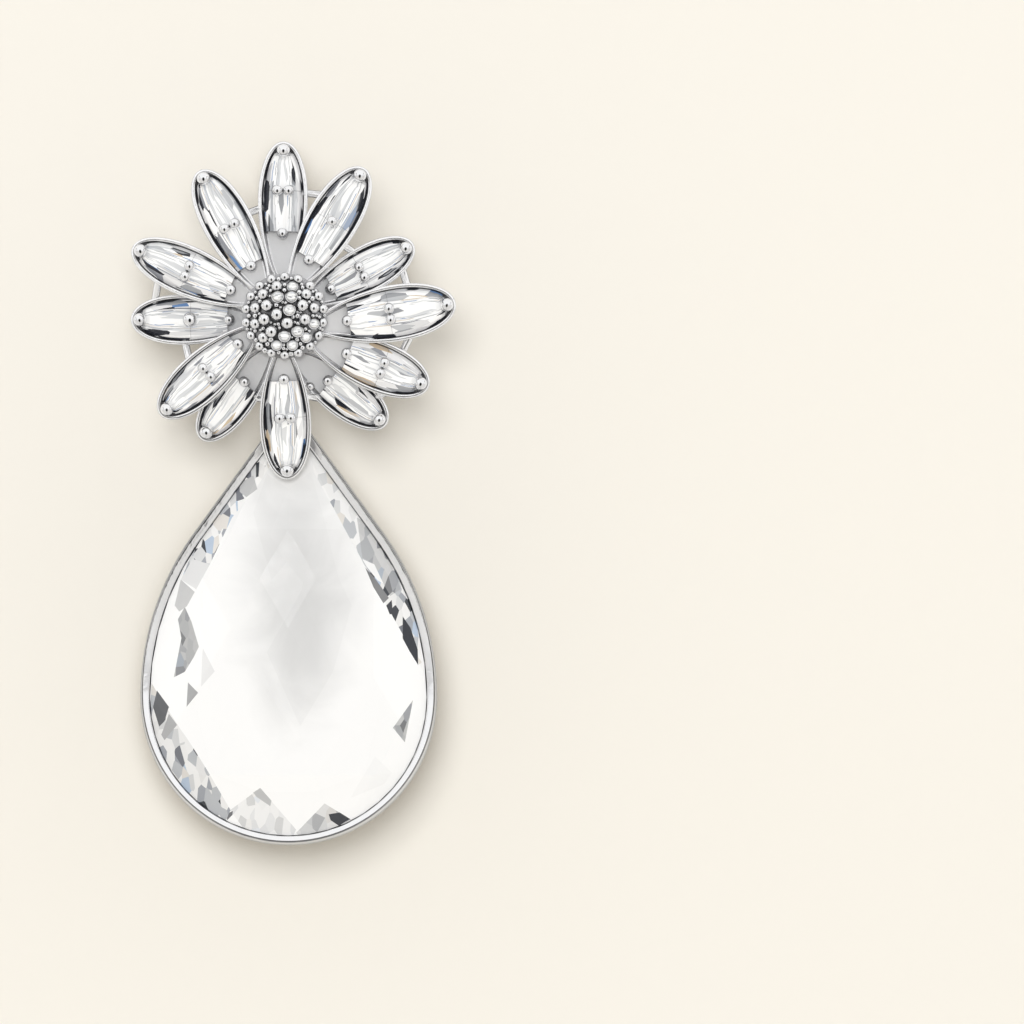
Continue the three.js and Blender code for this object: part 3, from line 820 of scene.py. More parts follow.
PETALS = (
    Petal(0.6, -0.58, 1.0195, 1.0154, 1, 0, 0.636, 0.341, Prongs.PAIR, 0.348),
    Petal(31.1, 28.01, 0.9775, 1.0154, 1.033, 1, 0.742, 0.432, Prongs.SINGLE, 0.523),
    Petal(61.5, 60.24, 0.8542, 0.8846, 0.956, 0, 0.748, 0.47, Prongs.PAIR, 0.165),
    Petal(80.8, 85.45, 0.9901, 1.0308, 1.133, 1.2, 0.746, 0.455, Prongs.PAIR, 0.328),
    Petal(112, 115.92, 0.9241, 0.9231, 1.022, 0.95, 0.675, 0.383, Prongs.PAIR, 0.275),
    Petal(127.3, 136.91, 0.8536, 0.8923, 0.956, 0, 0.578, 0, Prongs.NONE, 0.534),
    Petal(178.1, 179.17, 0.9371, 0.9538, 1.033, 1, 0.734, 0.452, Prongs.PAIR, 0.581),
    Petal(217, 214.6, 0.8576, 0.8462, 0.911, 0, 0.6, 0, Prongs.NONE, 0),
    Petal(227.6, 231.85, 0.9166, 0.9385, 0.978, 1, 0.787, 0.475, Prongs.PAIR, 0.426),
    Petal(270, 269.13, 0.8936, 0.8923, 1.011, 0, 0.776, 0.47, Prongs.LARGE, 0.181),
    Petal(293.5, 294.61, 0.9714, 0.9846, 1.011, 0.97, 0.766, 0.43, Prongs.PAIR, 0),
    Petal(331.4, 329.63, 0.9814, 1.0077, 1, 1.1, 0.756, 0.443, Prongs.PAIR, 0.412),
)


@dataclass(frozen=True)
class PetalShape:
    """The sizes that all petals share, and the frame and outline of each."""

    tilt: float = math.radians(7)
    back_y: float = -2.3
    flower_reach: float = 15.4
    petal_length: float = 13.0
    petal_width: float = 4.5
    tier_step: float = 1.55
    cup_depth: float = 1.35
    floor: float = 0.3
    root_fullness: float = 0.75
    tip_fullness: float = 0.5
    sides: int = 96

    def cone_y(self, radius: float) -> float:
        """Gives where the bottom of the rear layer lies at a distance from the centre."""
        return self.back_y - math.tan(self.tilt) * (self.flower_reach - radius)

    def frame(self, petal: Petal) -> Matrix:
        """Gives the petal's own frame: across, along to its tip, up to the viewer.

        Args:
            petal: The petal.

        Returns:
            The matrix from the petal's frame to the earring's.
        """
        outward = heading(petal.bearing)
        rise = math.sin(self.tilt)
        across = Vector((outward.z, 0, -outward.x))
        along = outward * math.cos(self.tilt) + AXIS_Y * rise
        up = outward * rise - AXIS_Y * math.cos(self.tilt)
        root = heading(petal.tip_at) * self.tip_radius(petal)
        root -= outward * self.flat_length(petal)
        root.y = self.cone_y(root.length) - petal.lift * self.tier_step
        matrix = Matrix((across, along, up)).transposed().to_4x4()
        matrix.translation = root
        return matrix

    def tip_radius(self, petal: Petal) -> float:
        """Gives how far the petal's tip is from the flower's middle."""
        return petal.reach * self.flower_reach

    def flat_length(self, petal: Petal) -> float:
        """Gives the petal's length as the viewer sees it."""
        return petal.length * self.petal_length

    def half_span(self, petal: Petal, inset: float) -> float:
        """Gives half the petal's greatest width, inside its rim by an inset."""
        return petal.width * self.petal_width / 2 - inset

    def length(self, petal: Petal) -> float:
        """Gives the petal's length along its slope."""
        return self.flat_length(petal) / math.cos(self.tilt)

    def fullness(self, share: float) -> float:
        """Gives the petal's width at a share of its length, as a share of its widest."""
        held = min(max(share, 0.0), 1.0)
        widest = self.root_fullness / (self.root_fullness + self.tip_fullness)
        top = widest**self.root_fullness * (1 - widest) ** self.tip_fullness
        return held**self.root_fullness * (1 - held) ** self.tip_fullness / top

    def half_width(self, petal: Petal, s: float, inset: float) -> float:
        """Gives half the petal's width at a distance from its root, inside by an inset."""
        share = (s - inset) / (self.length(petal) - 2 * inset)
        return self.half_span(petal, inset) * self.fullness(share)

    def ring(self, petal: Petal, inset: float, height: float) -> list[Vector]:
        """Gives the outline of a petal, inside its rim by an inset and at a height."""
        matrix, length = self.frame(petal), self.length(petal)
        points = []
        for k in range(self.sides):
            angle = 2 * math.pi * k / self.sides
            share = (1 - math.cos(angle)) / 2
            side = 0 if k in (0, self.sides // 2) else math.copysign(1, math.sin(angle))
            t = side * self.half_span(petal, inset) * self.fullness(share)
            points.append(matrix @ Vector((t, inset + (length - 2 * inset) * share, height)))
        return points


@dataclass
class FlowerHead:
    """The silver flower: cups, prong beads, bridges and the plate behind them."""

    shape: PetalShape = field(default_factory=PetalShape)
    tip_bead: float = 0.6
    prong_bead: float = 0.51
    large_bead: float = 0.68
    pair_spread: float = 0.51
    bead_sink: float = 0.28
    stalk: float = 0.22
    plate_radius: float = 6.0
    plate_back_y: float = -2.6
    plate_thickness: float = 0.95
    plate_bevel: float = 0.35
    plate_chamfer: float = 0.12
    plate_steps: tuple[float, float] = (1.1, 1.25)
    drum_radius: float = 3.6
    drum_rise: float = 1.2
    drum_lap: float = 0.1
    bridge_radius: float = 0.34
    bridge_height: float = 0.57
    bridge_sink: float = 0.35
    tip_bead_from_tip: float = 0.87
    tip_stalk_from_tip: float = 0.54
    bar_radius: float = 0.25
    bar_reach: float = 0.85
    bar_height: float = 1.27
    claw_reach: float = 0.48
    claw_over: float = 0.30
    claw_lean: float = 0.3
    claw_foot: float = 0.8
    claw_radius: float = 0.2
    claw_sides: int = 10
    extra_balls: tuple[tuple[float, float, float, float], ...] = (
        (2.23, -6.2, -4.6, 0.42), (-6.37, -9.51, -3.6, 0.36),
    )

    # Inset from the rim, height over the cup's bottom and how much painted shade the silver gets
    cup_rows = (
        (0.594, 0.0, 0.5), (0.44, 0.28, 0.35), (0.24, 0.66, 0.15), (0.08, 1.0, 0.0),
        (0.02, 1.12, 0.0), (0.0, 1.2, 0.0), (0.02, 1.27, 0.0), (0.06, 1.32, 0.0),
        (0.12, 1.345, 0.0), (0.19, 1.355, 0.0), (0.26, 1.35, 0.0), (0.31, 1.33, 0.0),
        (0.345, 1.28, 0.2), (0.36, 1.18, 0.7),
        (0.385, 0.9, 0.9), (0.46, 0.5, 0.7), (0.567, 0.31, 0.3), (0.72, 0.3, 0.0),
    )

    def cups(self, palette: Palette) -> bpy.types.Object:
        """Makes the twelve cups and the bridges between them.

        Args:
            palette: The finishes.

        Returns:
            The piece.
        """
        skin = Skin()
        shape = self.shape
        floor, floor_faces = 1, shape.sides // 2
        for k, petal in enumerate(PETALS):
            skin.loft(
                [shape.ring(petal, inset, height) for inset, height, _ in self.cup_rows],
                [dark for _, _, dark in self.cup_rows],
            )
            skin.kinds[-floor_faces:] = [floor] * floor_faces
            if petal.bridge > 0:
                beside = PETALS[(k + 1) % len(PETALS)]
                near = petal.bridge * shape.flat_length(petal)
                far = shape.tip_radius(beside) - shape.tip_radius(petal) + near
                skin.rod(
                    self.wall_point(petal, 1, near),
                    self.wall_point(beside, -1, far),
                    self.bridge_radius,
                )
        return skin.made("petal_cups", [palette.petal_rim, palette.cup_floor])

    def wall_point(self, petal: Petal, side: int, from_tip: float) -> Vector:
        """Gives a point in a petal's side wall, at a distance from its tip."""
        shape = self.shape
        s = shape.length(petal) - from_tip
        t = side * (shape.half_width(petal, s, 0) - self.bridge_sink)
        return shape.frame(petal) @ Vector((t, s, self.bridge_height))

    def prong_places(self, petal: Petal) -> list[tuple[float, float, float, float]]:
        """Lists a petal's prongs.

        Args:
            petal: The petal.

        Returns:
            For each: across, distance from the tip, radius and its foot's distance.
        """
        unit = self.shape.flat_length(petal)
        inner, middle = petal.inner_bead * unit, petal.mid_bead * unit
        places = [(0.0, inner, self.prong_bead, inner)]
        if petal.prongs is Prongs.PAIR:
            for side in (-self.pair_spread, self.pair_spread):
                places.append((side, middle, self.prong_bead, middle))
        if petal.prongs is Prongs.SINGLE:
            places.append((0.0, middle, self.prong_bead, middle))
        if petal.prongs is Prongs.LARGE:
            places.append((0.0, middle, self.large_bead, middle))
        places.append((0.0, self.tip_bead_from_tip, self.tip_bead, self.tip_stalk_from_tip))
        return places

    def prongs(self, silver: bpy.types.Material) -> bpy.types.Object:
        """Makes the beaded prongs, each on its stalk.

        Args:
            silver: The polished silver.

        Returns:
            The piece.
        """
        skin = Skin()
        shape = self.shape
        for petal in PETALS:
            frame, length = shape.frame(petal), shape.length(petal)
            for t, from_tip, radius, foot in self.prong_places(petal):
                height = shape.cup_depth - self.bead_sink + radius
                centre = frame @ Vector((t, length - from_tip, height))
                bottom = frame @ Vector((t, length - foot, shape.floor / 2))
                skin.rod(bottom, centre, self.stalk)
                skin.ball(centre, radius, centre - bottom)
            if petal.prongs in (Prongs.PAIR, Prongs.SINGLE):
                s = length - petal.mid_bead * shape.flat_length(petal)
                t = self.bar_reach * (0.5 if petal.prongs is Prongs.SINGLE else 1.0)
                ends = [frame @ Vector((side, s, self.bar_height)) for side in (-t, t)]
                skin.rod(*ends, self.bar_radius)
                for side in (-t, t):
                    across = side * self.claw_over / t + side * self.claw_lean
                    for way in (-self.claw_reach, self.claw_reach):
                        foot = frame @ Vector((side * self.claw_foot, s, self.bar_height))
                        tip = frame @ Vector((across, s + way, self.bar_height))
                        skin.rod(foot, tip, self.claw_radius, self.claw_sides)
        for x, z, y, radius in self.extra_balls:
            skin.ball(Vector((x, y, z)), radius, -AXIS_Y)
        return skin.made("prong_beads", [silver])

    def back(self, satin: bpy.types.Material) -> bpy.types.Object:
        """Makes the plate and the drum that carry the petals' roots.

        Args:
            satin: The satin silver.

        Returns:
            The piece.
        """
        skin = Skin()
        front = self.plate_back_y - self.plate_thickness
        bevel = self.plate_thickness * self.plate_bevel
        edge, back, chamfer = self.plate_radius, self.plate_back_y, self.plate_chamfer
        rows = [(0.0, front), (edge - chamfer, front), (edge, front + chamfer)]
        for turn in quarter(6):
            rows.append(
                (edge - bevel * (1 - math.cos(turn)), back - bevel * (1 - math.sin(turn)))
            )
        rows += [(edge - step, back) for step in self.plate_steps] + [(0.0, back)]
        skin.turned(rows, 120, Matrix.Identity(4))
        top = self.shape.cone_y(self.drum_radius) - self.shape.tier_step * self.drum_rise
        drum = [
            (0.0, top + self.drum_lap), (self.drum_radius, top + self.drum_lap),
            (self.drum_radius, back - bevel), (0.0, back - bevel),
        ]
        # The drum behind the petals is painted in shade
        skin.turned(drum, 96, Matrix.Identity(4), [0.6, 0.6, 0.6, 0.6])
        return skin.made("flower_back", [satin])

    def build(self, palette: Palette) -> None:
        """Makes and hangs the flower's silver pieces."""
        pieces = (self.cups(palette), self.prongs(palette.silver), self.back(palette.satin))
        for piece in pieces:
            settle(piece, Body.FLOWER, Slot.SILVER, "flower_frame")


@dataclass(frozen=True)
class Facet:
    """What a rule says of one facet: the tone of its painted reflection, and whether it is
    broken up inside.
    """

    tone: float
    shatter: float = 0.0


class CutRule:
    """Says what the facets and corners of one stone carry, in the stone's own frame."""

    def facet(self, centre: Vector, normal: Vector) -> Facet:
        """Gives what one facet carries.

        Args:
            centre: The facet's middle.
            normal: Its outward direction.

        Returns:
            The facet's tone and break.
        """
        raise NotImplementedError

    def place(self, point: Vector) -> Vector:
        """Gives the place that a corner carries for the finish's patterns."""
        return point

    def score(self, work: bmesh.types.BMesh, frame: Matrix) -> None:
        """Cuts further facets' edges into the hull, where the stone has them.

        Args:
            work: The stone's mesh in millimetres.
            frame: The stone's own frame.
        """


def faceted(
    name: str,
    points: list[Vector],
    material: bpy.types.Material,
    rule: CutRule,
    frame: Matrix,
) -> bpy.types.Object:
    """Makes a cut stone as the hull of its corners, dressed by a rule.

    Args:
        name: The piece's name.
        points: The stone's corners in millimetres.
        material: The crystal finish.
        rule: The rule that dresses its facets.
        frame: The stone's own frame.

    Returns:
        The object, in metres.
    """
    work = bmesh.new()
    for point in points:
        work.verts.new(point)
    bmesh.ops.remove_doubles(work, verts=work.verts, dist=1e-3)
    hull = bmesh.ops.convex_hull(work, input=work.verts)
    loose = [item for item in hull["geom_interior"] if isinstance(item, bmesh.types.BMVert)]
    bmesh.ops.delete(work, geom=loose, context="VERTS")
    bmesh.ops.dissolve_limit(
        work, angle_limit=math.radians(0.6), verts=work.verts, edges=work.edges
    )
    bmesh.ops.recalc_face_normals(work, faces=work.faces)
    rule.score(work, frame)
    tone_layer = work.faces.layers.float.new("tone")
    shatter_layer = work.faces.layers.float.new("shatter")
    place_layer = work.verts.layers.float_vector.new("stone_place")
    inward = frame.inverted()
    for vert in work.verts:
        vert[place_layer] = rule.place(inward @ vert.co)
    for face in work.faces:
        face.smooth = False
        said = rule.facet(inward @ face.calc_center_median(), inward.to_3x3() @ face.normal)
        face[tone_layer] = said.tone
        face[shatter_layer] = said.shatter
    bmesh.ops.scale(work, vec=(MM, MM, MM), verts=work.verts)
    mesh = bpy.data.meshes.new(name)
    work.to_mesh(mesh)
    work.free()
    mesh.materials.append(material)
    return linked(name, mesh)


@dataclass
class PetalCut(CutRule):
    """Painted reflections: clear crown facets, greyer down the sides, with a pattern of its
    own for each stone.
    """

    half_width: Callable[[float], float]
    pattern: float
    least_width: float = 0.3

    # A painted reflection tone holds for the facets that face up by more than the number
    # before it: facets that face up more are painted lighter
    tones = ((0.55, 1.0), (0.05, 0.75), (-math.inf, 0.4))

    def facet(self, centre: Vector, normal: Vector) -> Facet:
        """Gives the tone of one facet of a petal stone."""
        return Facet(next(tone for up, tone in self.tones if normal.z > up))

    def place(self, point: Vector) -> Vector:
        """Gives the place across as a share of the petal's half width there."""
        across = point.x / max(self.half_width(point.y), self.least_width)
        return Vector((across, point.y, point.z + self.pattern))


@dataclass
class PetalStones:
    """The stones of the petals: long cut crystals between the prongs."""

    shape: PetalShape = field(default_factory=PetalShape)
    stone_inset: float = 0.46
    top_drop: float = 0.08
    crown: float = 0.42
    pavilion: float = 0.38
    tip_gap: float = 1.05
    split_gap: float = 0.02
    pattern_step: float = 7.3
    stalk: float = 0.22

    # Share of the half width that a row lies inside the girdle, its height as a share of
    # the crown or of the pavilion, and the stations of its corners along the stone
    rows = (
        (0.42, 1.0, (0.0, 0.3, 0.68, 1.0)),
        (0.17, 0.66, (0.0, 0.16, 0.5, 0.84, 1.0)),
        (0.0, 0.0, (0.0, 0.08, 0.2, 0.32, 0.44, 0.56, 0.68, 0.8, 0.91, 1.0)),
        (0.62, -1.0, (0.0, 0.3, 0.68, 1.0)),
    )

    def stretches(self, petal: Petal) -> list[tuple[str, float, float]]:
        """Lists the stretches of a petal that hold stones.

        Args:
            petal: The petal.

        Returns:
            For each: outer or inner, and where it begins and ends from the root.
        """
        length = self.shape.length(petal)
        unit = self.shape.flat_length(petal)
        inner = length - petal.inner_bead * unit + self.stalk
        tip = length - self.tip_gap
        if petal.prongs is Prongs.NONE:
            return [("outer", inner, tip)]
        gap = self.split_gap / 2
        split = length - petal.mid_bead * unit
        return [("outer", split + gap, tip), ("inner", inner, split - gap)]

    def corners(self, petal: Petal, place: str, start: float, end: float) -> list[Vector]:
        """Lists the corners of a stone.

        Args:
            petal: The petal.
            place: Outer or inner. An outer stone narrows to the petal's tip.
            start: Where it begins, from the petal's root.
            end: Where it ends.

        Returns:
            The corners in millimetres.
        """
        shape = self.shape
        frame = shape.frame(petal)
        girdle = shape.cup_depth - self.top_drop - self.crown
        half = shape.half_width(petal, (start + end) / 2, self.stone_inset)
        points = []
        for share, height, stations in self.rows:
            inset = share * half
            reach = self.crown if height > 0 else self.pavilion
            for station in stations:
                s = lerp(start, end - inset if place == "outer" else end, station)
                width = shape.half_width(petal, s, self.stone_inset) - inset
                t = max(width, self.stalk if share == 0 else self.stalk / 2)
                for side in (t, -t):
                    points.append(frame @ Vector((side, s, girdle + height * reach)))
        return points

    def build(self, crystal: bpy.types.Material) -> None:
        """Makes and hangs the stones.

        Args:
            crystal: The petals' crystal finish.
        """
        for number, petal in enumerate(PETALS, 1):
            for place, start, end in self.stretches(petal):
                rule = PetalCut(
                    lambda s, petal=petal: self.shape.half_width(petal, s, self.stone_inset),
                    self.pattern_step * number,
                )
                piece = faceted(
                    f"petal_crystal_{place}_{number:02d}",
                    self.corners(petal, place, start, end),
                    crystal,
                    rule,
                    self.shape.frame(petal),
                )
                settle(piece, Body.FLOWER, Slot.PETAL, f"petal_stone_{place}_{number:02d}")


@dataclass
class Stamens:
    """The cushion of stamens: silver beads on a dome, a few of them small crystals."""

    base_y: float = -6.25
    base_radius: float = 3.8
    base_thickness: float = 0.55
    dome: float = 1.25
    dome_under: float = 0.7
    peg_radius: float = 1.1
    peg_end: float = -4.5
    centre_z: float = 0.1
    fullness: float = 1.15
    filler: tuple[float, float] = (0.17, 0.32)
    filler_tries: int = 4000
    filler_reach: float = 3.6
    filler_lap: float = 0.45
    filler_rise: float = 0.75
    filler_lift: float = 0.3
    filler_sides: int = 16
    stalk_share: float = 0.55
    seed: int = 7

    # Count, radius, turn, bead radius and height as a share of the dome
    rings = (
        (3, 0.69, 0.33, 0.5, 1.0),
        (9, 1.83, 0.5, 0.49, 0.78),
        (12, 2.72, 0.5, 0.45, 0.46),
        (18, 3.5, 0.0, 0.4, 0.16),
    )

    # The little cup that holds a small crystal: radius and height in shares of the bead's
    setting_rows = (
        (0.0, -0.5), (0.62, -0.45), (0.9, -0.1), (1.0, 0.3), (0.97, 0.42), (0.88, 0.4),
        (0.8, 0.1), (0.0, 0.0),
    )

    # The small crystal's rows of corners: radius, height, count and turn
    gem_rows = (
        (0.42, 0.92, 8, 0.0), (0.7, 0.72, 8, 0.5), (0.86, 0.38, 16, 0.0), (0.3, 0.02, 8, 0.0),
    )

    # Where the small crystals stand among the beads, right and up from the middle
    crystal_spots = (
        (0.65, 0.45), (0.56, 1.97), (-0.64, 1.97), (0.21, 2.73), (0.02, -1.44),
        (1.16, -1.19), (2.2, -1.44), (1.09, -2.39), (-0.14, -2.45), (2.77, -0.15),
    )

    def heads(self) -> list[tuple[Vector, float]]:
        """Lists the middle and the radius of every stamen's head."""
        top = self.base_y - self.base_thickness
        found = []
        for count, radius, turn, bead, height in self.rings:
            for k in range(count):
                angle = 2 * math.pi * (k + turn) / count
                centre = Vector(
                    (
                        radius * math.sin(angle),
                        top - self.dome * height,
                        radius * math.cos(angle) + self.centre_z,
                    )
                )
                found.append((centre, bead * self.fullness))
        return found

    def fillers(
        self, heads: list[tuple[Vector, float]], chance: random.Random
    ) -> list[tuple[Vector, float]]:
        """Finds room for small beads on the dome, between and below the heads."""
        top = self.base_y - self.base_thickness
        found: list[tuple[Vector, float]] = []
        for _ in range(self.filler_tries):
            radius = self.filler_reach * math.sqrt(chance.random())
            angle = chance.uniform(0.0, 2 * math.pi)
            bead = chance.uniform(*self.filler)
            x, z = radius * math.sin(angle), radius * math.cos(angle) + self.centre_z
            rise = self.dome * (1 - (radius / self.base_radius) ** 2)
            if all(
                math.hypot(spot.x - x, spot.z - z) > size + bead * self.filler_lap
                for spot, size in [*heads, *found]
            ):
                y = top - rise * self.filler_rise - bead * self.filler_lift
                found.append((Vector((x, y, z)), bead))
        return found

    def crystal_heads(self, heads: list[tuple[Vector, float]]) -> set[int]:
        """Picks the heads that stand nearest the crystals' spots."""
        picked: set[int] = set()
        for x, z in self.crystal_spots:
            near = sorted(
                range(len(heads)), key=lambda k: math.hypot(heads[k][0].x - x, heads[k][0].z - z)
            )
            picked.add(next(k for k in near if k not in picked))
        return picked

    def build(self, palette: Palette) -> None:
        """Makes and hangs the cushion and its crystals.

        Args:
            palette: The finishes.
        """
        heads = self.heads()
        sparkling = self.crystal_heads(heads)
        chance = random.Random(self.seed)
        skin = Skin()
        for k, (centre, bead) in enumerate(heads):
            foot = Vector((centre.x, self.base_y - self.base_thickness / 2, centre.z))
            skin.rod(foot, centre, bead * self.stalk_share)
            if k in sparkling:
                self.setting(skin, centre, bead)
            else:
                skin.ball(centre, bead * chance.uniform(0.96, 1.0), -AXIS_Y)
        for centre, bead in self.fillers(heads, chance):
            skin.ball(centre, bead, -AXIS_Y, self.filler_sides)
        # The dome under the beads takes the darker silver: painted shade between them
        skin.kind = 1
        top = self.base_y - self.base_thickness
        rows = [(0.0, self.peg_end), (self.peg_radius, self.peg_end)]
        rows += [(self.peg_radius, self.base_y), (self.base_radius, self.base_y)]
        for step in range(13):
            radius = self.base_radius * (1 - step / 12)
            rows.append((radius, top - self.dome_under * (1 - (1 - step / 12) ** 2)))
        skin.turned(rows, 96, Matrix.Translation(Vector((0, 0, self.centre_z))))
        piece = skin.made("stamen_beads", [palette.stamen_silver, palette.dome_shade_silver])
        settle(piece, Body.FLOWER, Slot.SILVER, "stamen_cluster")
        for number, k in enumerate(sorted(sparkling), 1):
            centre, bead = heads[k]
            rule = PetalCut(lambda s: bead * 0.6, 5.0 * k)
            gem = faceted(
                f"stamen_crystal_{number:02d}",
                self.gem_corners(centre, bead),
                palette.gem,
                rule,
                placed(centre, -AXIS_Y) @ Matrix.Rotation(-math.pi / 2, 4, "X"),
            )
            settle(gem, Body.FLOWER, Slot.PETAL)

    def setting(self, skin: Skin, centre: Vector, bead: float) -> None:
        """Adds the little cup that holds a small crystal, open to the viewer."""
        rows = [(radius * bead, height * bead) for radius, height in self.setting_rows]
        skin.turned(rows, 28, placed(centre, -AXIS_Y))

    def gem_corners(self, centre: Vector, bead: float) -> list[Vector]:
        """Lists the corners of a small round crystal with a table and two rows of facets."""
        matrix = placed(centre, -AXIS_Y)
        points = []
        for radius, height, count, turn in self.gem_rows:
            reach = radius * bead
            for k in range(count):
                angle = 2 * math.pi * (k + turn) / count
                spot = (reach * math.sin(angle), height * bead, reach * math.cos(angle))
                points.append(matrix @ Vector(spot))
        return points


@dataclass
class EarPost:
    """The post: a pad that rests on the ear, a stem to the flower and a notched pin."""

    pin_radius: float = 0.42
    pin_length: float = 10.6
    tip_length: float = 0.8
    notch_depth: float = 0.12
    notch_from_tip: float = 2.4
    pad_radius: float = 2.4
    pad_thickness: float = 0.6
    stem_radius: float = 0.9
    stem_end: float = -2.55
    fillet: float = 0.2
    fillet_middle: float = 0.06
    flat_steps: tuple[float, float] = (0.25, 0.08)
    pin_foot: float = 0.04

    def build(self, silver: bpy.types.Material) -> None:
        """Makes and hangs the post.

        Args:
            silver: The polished silver.
        """
        notch = self.pin_length - self.notch_from_tip
        bevel = self.pad_thickness * 0.25
        pad, front = self.pad_radius, -self.pad_thickness
        rows = [(0.0, self.stem_end), (self.stem_radius, self.stem_end)]
        rows += [(self.stem_radius, front - self.fillet)]
        rows += [(self.stem_radius + self.fillet_middle, front - self.fillet_middle)]
        rows += [(self.stem_radius + self.fillet, front), (pad - bevel, front)]
        for turn in quarter(5)[1:]:
            rise = bevel * (1 - math.cos(turn))
            rows.append((pad - bevel + bevel * math.sin(turn), front + rise))
        for turn in quarter(5):
            rows.append((pad - bevel + bevel * math.cos(turn), bevel * math.sin(turn) - bevel))
        rows += [(self.pin_radius + step, 0.0) for step in self.flat_steps]
        rows += [(self.pin_radius, self.pin_foot), (self.pin_radius, notch - self.notch_depth)]
        for step in range(9):
            waist = self.pin_radius - self.notch_depth * math.sin(math.pi * step / 8)
            rows.append((waist, notch + self.notch_depth * (step / 2 - 1)))
        rows += [(self.pin_radius, self.pin_length - self.tip_length)]
        for turn in quarter(8)[1:]:
            rows.append(
                (
                    self.pin_radius * math.cos(turn),
                    self.pin_length - self.tip_length * (1 - math.sin(turn)),
                )
            )
        rows[-1] = (0.0, self.pin_length)
        skin = Skin()
        skin.turned(rows, 64, Matrix.Identity(4))
        settle(skin.made("ear_post_turned", [silver]), Body.FLOWER, Slot.SILVER, "ear_post")


@dataclass
class Suspension:
    """The hanger behind the bottom petal, the round link and the drop's loop."""

    hang_x: float = 0.23
    pivot_z: float = -6.3
    eye_radius: float = 1.25
    link_radius: float = 1.4
    loop_radius: float = 1.1
    wire: float = 0.36
    wire_gap: float = 0.06
    foot_front: float = -2.55

    @property
    def crossing(self) -> float:
        """How far the middles of two hanging wires lie apart."""
        return 2 * self.wire + self.wire_gap

    @property
    def link_z(self) -> float:
        """The height of the link's middle."""
        return self.pivot_z + self.crossing - self.link_radius

    @property
    def loop_z(self) -> float:
        """The height of the loop's middle."""
        return self.link_z - self.link_radius + self.crossing - self.loop_radius

    def build(self, silver: bpy.types.Material) -> None:
        """Makes and hangs the hanger and the link.

        Args:
            silver: The polished silver.
        """
        eye = Vector((self.hang_x, 0, self.pivot_z + self.eye_radius))
        skin = Skin()
        skin.hoop(eye, self.eye_radius, self.wire, AXIS_X)
        half, back = 1.5 * self.wire, -self.eye_radius + self.wire * 0.5
        rings = []
        for y, grow in (
            (self.foot_front, 0.0), (self.foot_front + 0.1, 0.0), (-1.5, 0.0),
            (back - 0.14, -0.03), (back - 0.03, -0.1), (back, -0.22),
        ):
            rings.append(self.block_ring(eye, half + grow, 2 * half + grow, y))
        skin.loft(rings)
        settle(skin.made("hanger_eye", [silver]), Body.FLOWER, Slot.SILVER, "drop_hanger")
        skin = Skin()
        skin.hoop(Vector((self.hang_x, 0, self.link_z)), self.link_radius, self.wire, AXIS_Y)
        settle(skin.made("round_link", [silver]), Body.LINK, Slot.SILVER, "drop_link")

    @staticmethod
    def block_ring(centre: Vector, half_x: float, half_z: float, y: float) -> list[Vector]:
        """Gives one ring of the foot, a rectangle with rounded corners."""
        points = []
        for k in range(48):
            angle = 2 * math.pi * k / 48
            sine, cosine = math.sin(angle), math.cos(angle)
            x = math.copysign(abs(sine) ** 0.35, sine) * half_x
            z = math.copysign(abs(cosine) ** 0.35, cosine) * half_z
            points.append(Vector((centre.x + x, y, centre.z + z)))
        return points


@dataclass(frozen=True)
class PearShape:
    """The pear outline: apex arc, straight flanks, side arcs and a round bottom."""

    centre_x: float = 0.23
    widest_z: float = -34.2
    radius: float = 13.4
    side_radius: float = 25.2
    flank: float = math.radians(36)
    apex_radius: float = 2.0
    steps: tuple[int, int, int, int] = (16, 14, 22, 40)

    def outline(self, inset: float) -> list[tuple[float, float]]:
        """Lists the outline inside the outer edge by an inset, clockwise from its apex.

        Args:
            inset: How far inside the outer edge it lies.

        Returns:
            Right and up of each point, with x from the drop's middle line.
        """
        side_x = self.radius - self.side_radius
        flank_x = side_x + self.side_radius * math.cos(self.flank)
        flank_z = self.widest_z + self.side_radius * math.sin(self.flank)
        sharp_z = flank_z + flank_x / math.tan(self.flank)
        apex = max(self.apex_radius - inset, 0.0)
        apex_z = sharp_z - (inset + apex) / math.sin(self.flank)
        over, straight, side, under = self.steps
        right: list[tuple[float, float]] = []

        def arc(x: float, z: float, radius: float, a: float, b: float, count: int) -> None:
            """Adds the points of an arc, without its first."""
            for k in range(1, count + 1):
                angle = lerp(a, b, k / count)
                right.append((x + radius * math.cos(angle), z + radius * math.sin(angle)))

        right.append((0.0, apex_z + apex))
        arc(0.0, apex_z, apex, math.pi / 2, self.flank, over)
        start = right[-1]
        inner = self.side_radius - inset
        end = (
            side_x + inner * math.cos(self.flank),
            self.widest_z + inner * math.sin(self.flank),
        )
        for k in range(1, straight + 1):
            share = k / straight
            right.append((lerp(start[0], end[0], share), lerp(start[1], end[1], share)))
        arc(side_x, self.widest_z, inner, self.flank, 0.0, side)
        arc(0.0, self.widest_z, self.radius - inset, 0.0, -math.pi / 2, under)
        left = [(-x, z) for x, z in right[1:-1][::-1]]
        return right + left

    def ring(self, inset: float, y: float) -> list[Vector]:
        """Gives the outline as points at a depth."""
        return [Vector((self.centre_x + x, y, z)) for x, z in self.outline(inset)]

    def holds(self, inset: float, x: float, z: float) -> bool:
        """Says whether a point lies within the outline."""
        line = self.outline(inset)
        for (ax, az), (bx, bz) in zip(line, line[1:] + line[:1]):
            if (bx - ax) * (z - az) - (bz - az) * (x - ax) > 1e-9:
                return False
        return True


